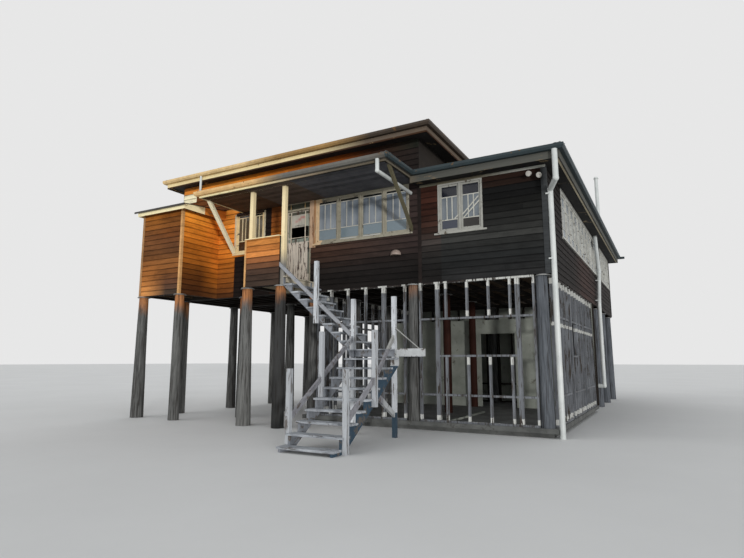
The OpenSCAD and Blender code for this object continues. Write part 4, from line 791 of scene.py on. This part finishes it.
CAP_X, CAP_Z = PORCH_X0 - 0.03, (HALF_TOP + 0.003, HALF_TOP + 0.027)
boxes("half_wall_cap", CREAM_POST, "cream_trim", [
    ((CAP_X, HALF_X1), (PORCH_Y - 0.082, PORCH_Y + 0.01), CAP_Z),
    ((CAP_X, PORCH_X0 + 0.06), (PORCH_Y + 0.01, 0), CAP_Z)], bevel=0.002)

trims("light_corner_boards", BOARDS, [
    (box_front, (BOX_X - 0.045, BOX_X + 0.026), BOX_WALL, 0.028, (214, 164, 108)),
    (box_right, (PORCH_Y, PORCH_Y + 0.055), BOX_WALL, 0.028),
    (half_front, (PORCH_X0 - 0.022, PORCH_X0 + 0.03), (WALL_LOW, HALF_TOP), 0.028),
    (half_left, (HALF_Y, PORCH_Y + 0.03), (WALL_LOW, HALF_TOP), 0.028)])

# Glazing bars in the sashes
MULLION, RIM, BAR, BAR_OUT = 0.05, 0.045, 0.022, (-0.018, -0.044)
HIGH_BARS, LOW_BARS = (5.07, 5.79), (4.88, 5.45)
DOOR_BARS_X, DOOR_BAR = (-7.107, -6.612), 0.014


def sash_bars(build, place, window, count, levels):
    """Two level bars, and two upright ones between them, in each of count sashes."""
    a, b = window[0]
    width = (b - a - (count + 1) * MULLION) / count
    for i in range(count):
        x0 = a + MULLION + i * (width + MULLION) + RIM
        x1 = x0 + width - 2 * RIM
        for level in levels:
            on_wall(build, place, (x0, x1), BAR_OUT, (level - BAR / 2, level + BAR / 2))
        for k in (1, 2):
            at = x0 + (x1 - x0) * k / 3
            on_wall(build, place, (at - BAR / 2, at + BAR / 2), BAR_OUT,
                    (levels[0] + BAR / 2, levels[1] - BAR / 2))


bars = Build()
for place, window, count, levels in (
        (front, BAND, 4, HIGH_BARS), (front, RECESS, 2, HIGH_BARS), (front, CASEMENTS, 2, LOW_BARS),
        (right, RIGHT_WINDOWS[0], 11, LOW_BARS), (right, RIGHT_WINDOWS[1], 4, LOW_BARS),
        *((left, window, 2, HIGH_BARS) for window in LEFT_WINDOWS),
        *((back, window, 2, HIGH_BARS) for window in BACK_WINDOWS), (back, BACK_WING_WINDOW, 2, LOW_BARS)):
    sash_bars(bars, place, window, count, levels)
for x in DOOR_BARS_X:
    on_wall(bars, front, (x, x + DOOR_BAR), BAR_OUT, TOP_PANES)
bars.make("glazing_bars", BAR_PAINT, "cream_trim")

# Tape across the cracked panes, and bright paint left on two sills
tape = Build()
for (xa, za), (xb, zb) in (((-1.96, 4.98), (-1.56, 5.38)), ((-1.93, 4.90), (-1.53, 5.28)),
                           ((-2.16, 4.90), (-2.05, 5.00))):
    loop = [(xa, za), (xa + 0.02, za - 0.02), (xb + 0.02, zb - 0.02), (xb, zb)]
    tape.solid([(x, 0.016, z) for x, z in loop], [(x, 0.012, z) for x, z in loop])
tape.make("pane_tape", BAR_PAINT, "white_plastic")
boxes("sill_strips", PLASTIC, "cream_trim",
      [(x, (0.008, 0.020), (4.735, 4.765)) for x in ((-5.42, -4.90), (-4.70, -4.18))], bevel=0.002)

# Corrugated sheets, run by run up each slope
WAVE, WAVE_H, PER_WAVE = 0.076, 0.008, 6
UP = Vector((0, 0, 1))


def slope(build, start, along, inward, length, k, run):
    """One slope: along and inward are plan directions; run(u) is how far in the sheet reaches at u."""
    start, along, inward = Vector(start), Vector(along), Vector(inward)
    count = round(length / WAVE) * PER_WAVE
    low, high, tones = [], [], []
    for i in range(count + 1):
        u = length * i / count
        if i % (10 * PER_WAVE) == 0:
            sheet_tone = rng.uniform(-0.8, 0.8)
        lift = WAVE_H * (1 + math.cos(TURN * i / PER_WAVE)) + 0.002
        reach = max(run(u), 0.0)
        foot = start + along * u
        low.append(foot + Vector((0, 0, lift)))
        high.append(foot + inward * reach + Vector((0, 0, lift + reach * k)))
        tones.append(sheet_tone)
    build.grid([low, high], tones)


def cap(build, a, b, width, k):
    """Folded cap over a hip or ridge from a to b, with a round roll along its middle; k is its side slope."""
    a, b = Vector(a), Vector(b)
    side = (b - a).cross(UP).normalized()
    roll = [(0.022 * math.cos(t), 0.026 * math.sin(t)) for t in (math.pi * i / 6 for i in range(7))]
    shape = [(-width, -width * k), *[(-p, q) for p, q in roll], (width, -width * k)]
    rows = [[p + side * s + UP * (h + 0.022) for s, h in shape] for p in (a, b)]
    build.grid(rows, [0.3] * len(shape))


def hipped(name, x, y, z, k, sides):
    """Sheets and caps over a roof body; sides has a letter for each that slopes: left, right, front, back."""
    build = Build()
    w, d = x[1] - x[0], y[1] - y[0]
    is_left, is_right, is_front, is_back = (side in sides for side in "LRFB")
    most = min(w / 2 if is_left and is_right else w, d / 2 if is_front and is_back else d)
    for has, start, along, inward, length, hip_a, hip_b in (
            (is_front, (x[0], y[0], z), (1, 0, 0), (0, 1, 0), w, is_left, is_right),
            (is_back, (x[1], y[1], z), (-1, 0, 0), (0, -1, 0), w, is_right, is_left),
            (is_right, (x[1], y[0], z), (0, 1, 0), (-1, 0, 0), d, is_front, is_back),
            (is_left, (x[0], y[1], z), (0, -1, 0), (1, 0, 0), d, is_back, is_front)):
        if has:
            slope(build, start, along, inward, length, k,
                  lambda u: min(u if hip_a else most, length - u if hip_b else most, most))
    build.make(name + "_sheets", ROOF_SHEET, "roof_sheet", smooth=True)
    caps = Build()
    top = z + most * k
    for has_x, px, sx in ((is_left, x[0], 1), (is_right, x[1], -1)):
        for has_y, py, sy in ((is_front, y[0], 1), (is_back, y[1], -1)):
            if has_x and has_y:
                cap(caps, (px, py, z), (px + sx * most, py + sy * most, top), 0.13, k * 0.7)
    if sides == "LRFB":
        cap(caps, (x[0] + most, y[0] + most, top), (x[0] + most, y[1] - most, top), 0.14, k)
    caps.make(name + "_caps", ROOF_SHEET, "roof_sheet", smooth=True, thick=0.002)


def eave_z(eave, k):
    return eave - OVER * k + SHEET_T


EDGE = FASCIA + OVER
BODY_Y = (-EDGE, DEPTH + EDGE)
MAIN_Z, WING_Z, CANOPY_Z = eave_z(MAIN_EAVE, MAIN_K), eave_z(LOW_EAVE, WING_K), eave_z(LOW_EAVE, CANOPY_K)
hipped("main_roof", (LEFT - EDGE, CORE + EDGE), BODY_Y, MAIN_Z, MAIN_K, "LRFB")
hipped("wing_roof", (CORE, EDGE), BODY_Y, WING_Z, WING_K, "RFB")
hipped("canopy", (CANOPY_X0 - OVER, CANOPY_X1 + OVER), (CANOPY_Y - OVER, 0), CANOPY_Z, CANOPY_K, "LRF")

# Sheet over the box room's roof and its drip edge
BOX_EDGE_X, BOX_EDGE_Y, BOX_SHEET, BOX_RUN, BOX_K = LEFT - 0.20, PORCH_Y - 0.22, 2.13, 1.67, 0.17 / 1.63
box_sheet = Build()
slope(box_sheet, (BOX_EDGE_X, BOX_EDGE_Y, BOX_TOP + 0.071), (1, 0, 0), (0, 1, 0), BOX_SHEET, BOX_K,
      lambda u: BOX_RUN)
box_sheet.make("box_roof_sheets", DARK_METAL, "roof_sheet", smooth=True)
boxes("box_roof_drip_edge", DARK_METAL, "roof_sheet", [
    ((BOX_EDGE_X, BOX_EDGE_X + BOX_SHEET), (BOX_EDGE_Y - 0.012, BOX_EDGE_Y - 0.002),
     (BOX_TOP + 0.036, BOX_TOP + 0.092))], bevel=0.002)


# Flashings where a lower roof meets a wall
def flashing(build, a, b, out, k):
    """Apron from a to b at the foot of a wall, up it and down over the sheets; out is the way it falls."""
    shape = ((0.012, 0.12), (0.014, 0.03), (0.15, 0.028 - 0.15 * k))
    build.grid([[Vector(p) + Vector(out) * far + UP * up for far, up in shape] for p in (a, b)])


aprons = Build()
top_z = WING_Z + (WING + EDGE) * WING_K
flashing(aprons, (CORE + 0.02, 3.05, top_z), (CORE + 0.02, DEPTH - 3.05, top_z), (1, 0, 0), WING_K)
top_z = CANOPY_Z - (CANOPY_Y - OVER) * CANOPY_K
flashing(aprons, (CANOPY_X0 + 1.7, -0.018, top_z), (CANOPY_X1 - 1.7, -0.018, top_z), (0, -1, 0), CANOPY_K)
aprons.make("roof_flashings", ZINC, "zinc_sheet", thick=0.002)

# Stumps as rough logs; the four under the box room and the porch come last, with their own girths and tones
LOG_R, THIN_R, HEAD_R, SIDES, RINGS = (0.150, 0.168), 0.112, 0.132, 18, 14
STORE_X, INNER_X = -6.3, -3.3
COLUMNS = [LEFT + 0.165, (LEFT + 0.165 + STORE_X) / 2, STORE_X, INNER_X, -0.165]
ROWS = [0.12 + i * (DEPTH - 0.24) / 6 for i in range(7)]
FRONT_COLUMNS = [LEFT + 0.06, BOX_X - 0.06, PORCH_X0 - 0.03, PORCH_X1 - 0.15]
FRONT_GIRTHS, FRONT_TONES = [0.188, 0.150, 0.190, 0.160], [-0.1, 0.1, 0.3, -1.1]
SPOTS = [(x, y, SLAB if x >= STORE_X and i <= 3 else GROUND) for x in COLUMNS for i, y in enumerate(ROWS)]
FEET = [rng.uniform(*LOG_R) for _ in SPOTS] + FRONT_GIRTHS
SPOTS += [(x, PORCH_Y + 0.1, GROUND) for x in FRONT_COLUMNS]
FIRST_FRONT = len(SPOTS) - len(FRONT_COLUMNS)


def rough_ring(x, y, z, radius, n):
    """Ring round log n at height z, lumpy and ridged along the grain."""
    ring = []
    for c, s in circle(SIDES):
        lump = noise.noise(Vector((c * 1.3 + n * 3.1, s * 1.3, z * 0.45)))
        ridge = noise.noise(Vector((c * 7 + n, s * 7, z * 0.5)))
        r = radius * (0.97 + 0.045 * lump) + 0.004 * ridge
        ring.append((x + r * c, y + r * s, z))
    return ring


logs, red_logs = Build(), Build()
for n, (x, y, foot) in enumerate(SPOTS):
    inner = x == INNER_X and 2 < y < 5
    if x > -0.2 and y < 0.2:
        x -= 0.045
    rows = []
    for z in (foot + (STUMP_TOP - foot) * j / RINGS for j in range(RINGS + 1)):
        radius = THIN_R if inner else FEET[n] + (HEAD_R - FEET[n]) * (z - foot) / (STUMP_TOP - foot)
        rows.append(rough_ring(x, y, z, radius, n))
    tone = rng.uniform(-0.6, 0.6)
    if n >= FIRST_FRONT:
        tone = FRONT_TONES[n - FIRST_FRONT]
    build = red_logs if inner else logs
    build.grid(rows, [tone] * SIDES, close=True)
    build.face(rows[0][::-1], tone)
    build.face(rows[-1], tone)
logs.make("stump_logs", STUMP, "stump_log", replaces=("stumps",), smooth=True)
red_logs.make("inner_stump_logs", timber("red_log", (22, 12, 9), (50, 26, 19), UPRIGHT, shine=0.1),
              "stump_log", smooth=True)

# Ant caps, turned from a profile of (radius, height)
CAP_PROFILE = ((0.001, 0.0025), (0.150, 0.0025), (0.160, 0.0), (0.184, -0.028), (0.182, -0.030),
               (0.158, -0.003), (0.001, 0.0))
CAP_SIDES = 24
caps = Build()
for x, y, foot in SPOTS:
    rows = [[(x + r * c, y + r * s, STUMP_TOP + z) for c, s in circle(CAP_SIDES)] for r, z in CAP_PROFILE]
    caps.grid(rows, [rng.uniform(-0.5, 0.5)] * CAP_SIDES, close=True)
caps.make("ant_caps", ZINC, "zinc_sheet", replaces=("stump_caps",), smooth=True)

# Straps on the gutters
STRAP, STRAP_REACH, STRAP_Z, MAIN_STRAP_GAP, WING_STRAP_GAP = 0.02, 0.115, (0.026, 0.029), 0.98, 0.95
boxes("gutter_straps", GUTTER, "gutter_sheet", [
    *(((x, x + STRAP), (-FASCIA - STRAP_REACH, -FASCIA), [MAIN_EAVE + z for z in STRAP_Z])
      for x in (LEFT - 0.2 + i * MAIN_STRAP_GAP for i in range(10))),
    *(((FASCIA, FASCIA + STRAP_REACH), (y, y + STRAP), [LOW_EAVE + z for z in STRAP_Z])
      for y in (0.1 + i * WING_STRAP_GAP for i in range(15)))])

# Lining boards under the canopy, in three stretches of shade
LINING_BOARD, LINING_Z = 0.162, (5.950, 5.957)
linings = Build()
for y in (-1.66 + i * LINING_BOARD for i in range(10)):
    tone = rng.uniform(-1, 1)
    for x0, x1, paint in ((CANOPY_X0 + 0.06, -7.35, (88, 66, 50)), (-7.35, -5.85, (98, 86, 78)),
                          (-5.85, CANOPY_X1 - 0.06, (94, 94, 98))):
        linings.paint = target(*paint)
        linings.box((x0, x1), (y, y + LINING_BOARD - 0.004), LINING_Z, tone)
linings.make("canopy_lining", BOARDS, "dark_boards")

# Cream batten under the wing's eave, close to the fascia
boxes("eave_batten", CREAM_TRIM, "cream_trim",
      [((0.305, 0.345), (-0.30, DEPTH + 0.30), (WING_TOP - 0.014, WING_TOP + 0.0005))])

# Boards behind the stumps at the back of the store
boxes("store_backing_boards", RAW_TIMBER, "frame_timber",
      [((x - 0.21, x + 0.21), (ROWS[3] + 0.162, ROWS[3] + 0.174), (SLAB, STUMP_TOP - 0.004))
       for x in COLUMNS[2:]])

# Door knob, thin bars and the cloth over the upper light, which all ride with the leaf
KNOB_X, KNOB_Z = -6.48, FLOOR + 1.02
door = Build()
door.rod((KNOB_X, 0.071, KNOB_Z), (KNOB_X, 0.045, KNOB_Z), 0.010)
door.rod((KNOB_X, 0.046, KNOB_Z), (KNOB_X, 0.018, KNOB_Z), 0.026, 16)
door.box((KNOB_X - 0.022, KNOB_X + 0.022), (0.066, 0.0705), (KNOB_Z - 0.10, KNOB_Z + 0.07))
door.make("door_knob", DARK_METAL, "lamp_metal", "front_door", bevel=0.002)

boxes("door_bars", BAR_PAINT, "door_paint", [
    *(((x, x + DOOR_BAR), (0.040, 0.0695), (4.84, 5.72)) for x in DOOR_BARS_X),
    ((-7.22, -6.44), (0.054, 0.0695), (4.955, 4.970))], "front_door")

CLOTH_X, CLOTH_Z, CLOTH_Y, FOLD = (-7.085, -6.620), (5.265, 5.630), 0.059, 0.0035
CLOTH_COLUMNS, CLOTH_ROWS = 30, 12
cloth = Build()
rows = []
for j in range(CLOTH_ROWS + 1):
    z = CLOTH_Z[1] + (CLOTH_Z[0] - CLOTH_Z[1]) * j / CLOTH_ROWS
    row = []
    for i in range(CLOTH_COLUMNS + 1):
        x = CLOTH_X[0] + (CLOTH_X[1] - CLOTH_X[0]) * i / CLOTH_COLUMNS
        wave = FOLD * math.sin(i * 1.05 + 0.5 * math.sin(j * 0.6)) * (0.5 + 0.5 * j / CLOTH_ROWS)
        row.append((x, CLOTH_Y + wave, z))
    rows.append(row)
cloth.grid(rows)
CLOTH = timber(
    "door_cloth", (150, 148, 136), (214, 208, 194), (3, 3, 1), shine=0.1, ragged=0.05,
    regions=[area((206, 160, 150), X=(-6.98, -6.86, 0.04), Z=(5.41, 5.46, 0.03)),
             area((204, 146, 138), X=(-6.87, -6.76, 0.04), Z=(5.46, 5.52, 0.03)),
             area((204, 142, 134), X=(-6.78, -6.60, 0.04), Z=(5.51, 5.58, 0.03)),
             area((120, 116, 110), X=(-7.0, -6.60, 0.02), Z=(5.30, 5.315, 0.008))])
cloth_piece = cloth.make("door_cloth", CLOTH, "door_paint", "front_door", smooth=True, thick=0.0012)

# Studio floor
FAR = 260.0
floor_mesh = bpy.data.meshes.new("studio_floor")
floor_mesh.from_pydata([(-FAR, -FAR, 0), (FAR, -FAR, 0), (FAR, FAR, 0), (-FAR, FAR, 0)], [], [(0, 1, 2, 3)])
floor_mesh.materials.append(plain("studio_floor", (206, 206, 204), (214, 214, 212), 0.2, rough=0.9, bump=0.0))
placed("studio_floor", floor_mesh)

# Camera, where the photograph was taken
optics = bpy.data.cameras.new("camera")
optics.lens = 25.826
optics.sensor_width = 36.0
optics.clip_end = 1000
camera = placed("camera", optics)
camera.rotation_euler = (math.radians(98.734), 0, math.radians(29.055))
camera.location = Vector((2.175, -11.87, 1.5)) + HOME
scene.camera = camera


# Lights
def sun(name, strength, angle, tilt):
    data = bpy.data.lights.new(name, "SUN")
    data.energy = strength
    data.angle = math.radians(angle)
    placed(name, data).rotation_euler = tuple(math.radians(a) for a in tilt)


sun("key", 1.7, 4, (87, 0, 45))
sun("fill", 0.6, 60, (50, 0, -35))
sun("back", 0.4, 60, (60, 0, 205))

# World: soft light, which the camera, the glass and shiny pieces see as white
world = bpy.data.worlds.new("studio")
scene.world = world
world.use_nodes = True
sky = Nodes(world.node_tree)
ambient = sky.tree.nodes["Background"]
sky.put(ambient.inputs["Color"], (0.93, 0.96, 1.0, 1))
sky.put(ambient.inputs["Strength"], 0.62)
white = sky.node("Background", {"Strength": 1.0})
rays = sky.node("LightPath", {})
seen = sky.maths("MAXIMUM", rays["Is Camera Ray"], rays["Is Glossy Ray"])
seen = sky.maths("MAXIMUM", seen, rays["Is Transmission Ray"])
blend = sky.node("MixShader", {0: seen, 1: ambient.outputs[0], 2: white[0]})
sky.put(sky.tree.nodes["World Output"].inputs["Surface"], blend[0])

scene.view_settings.view_transform = "Standard"
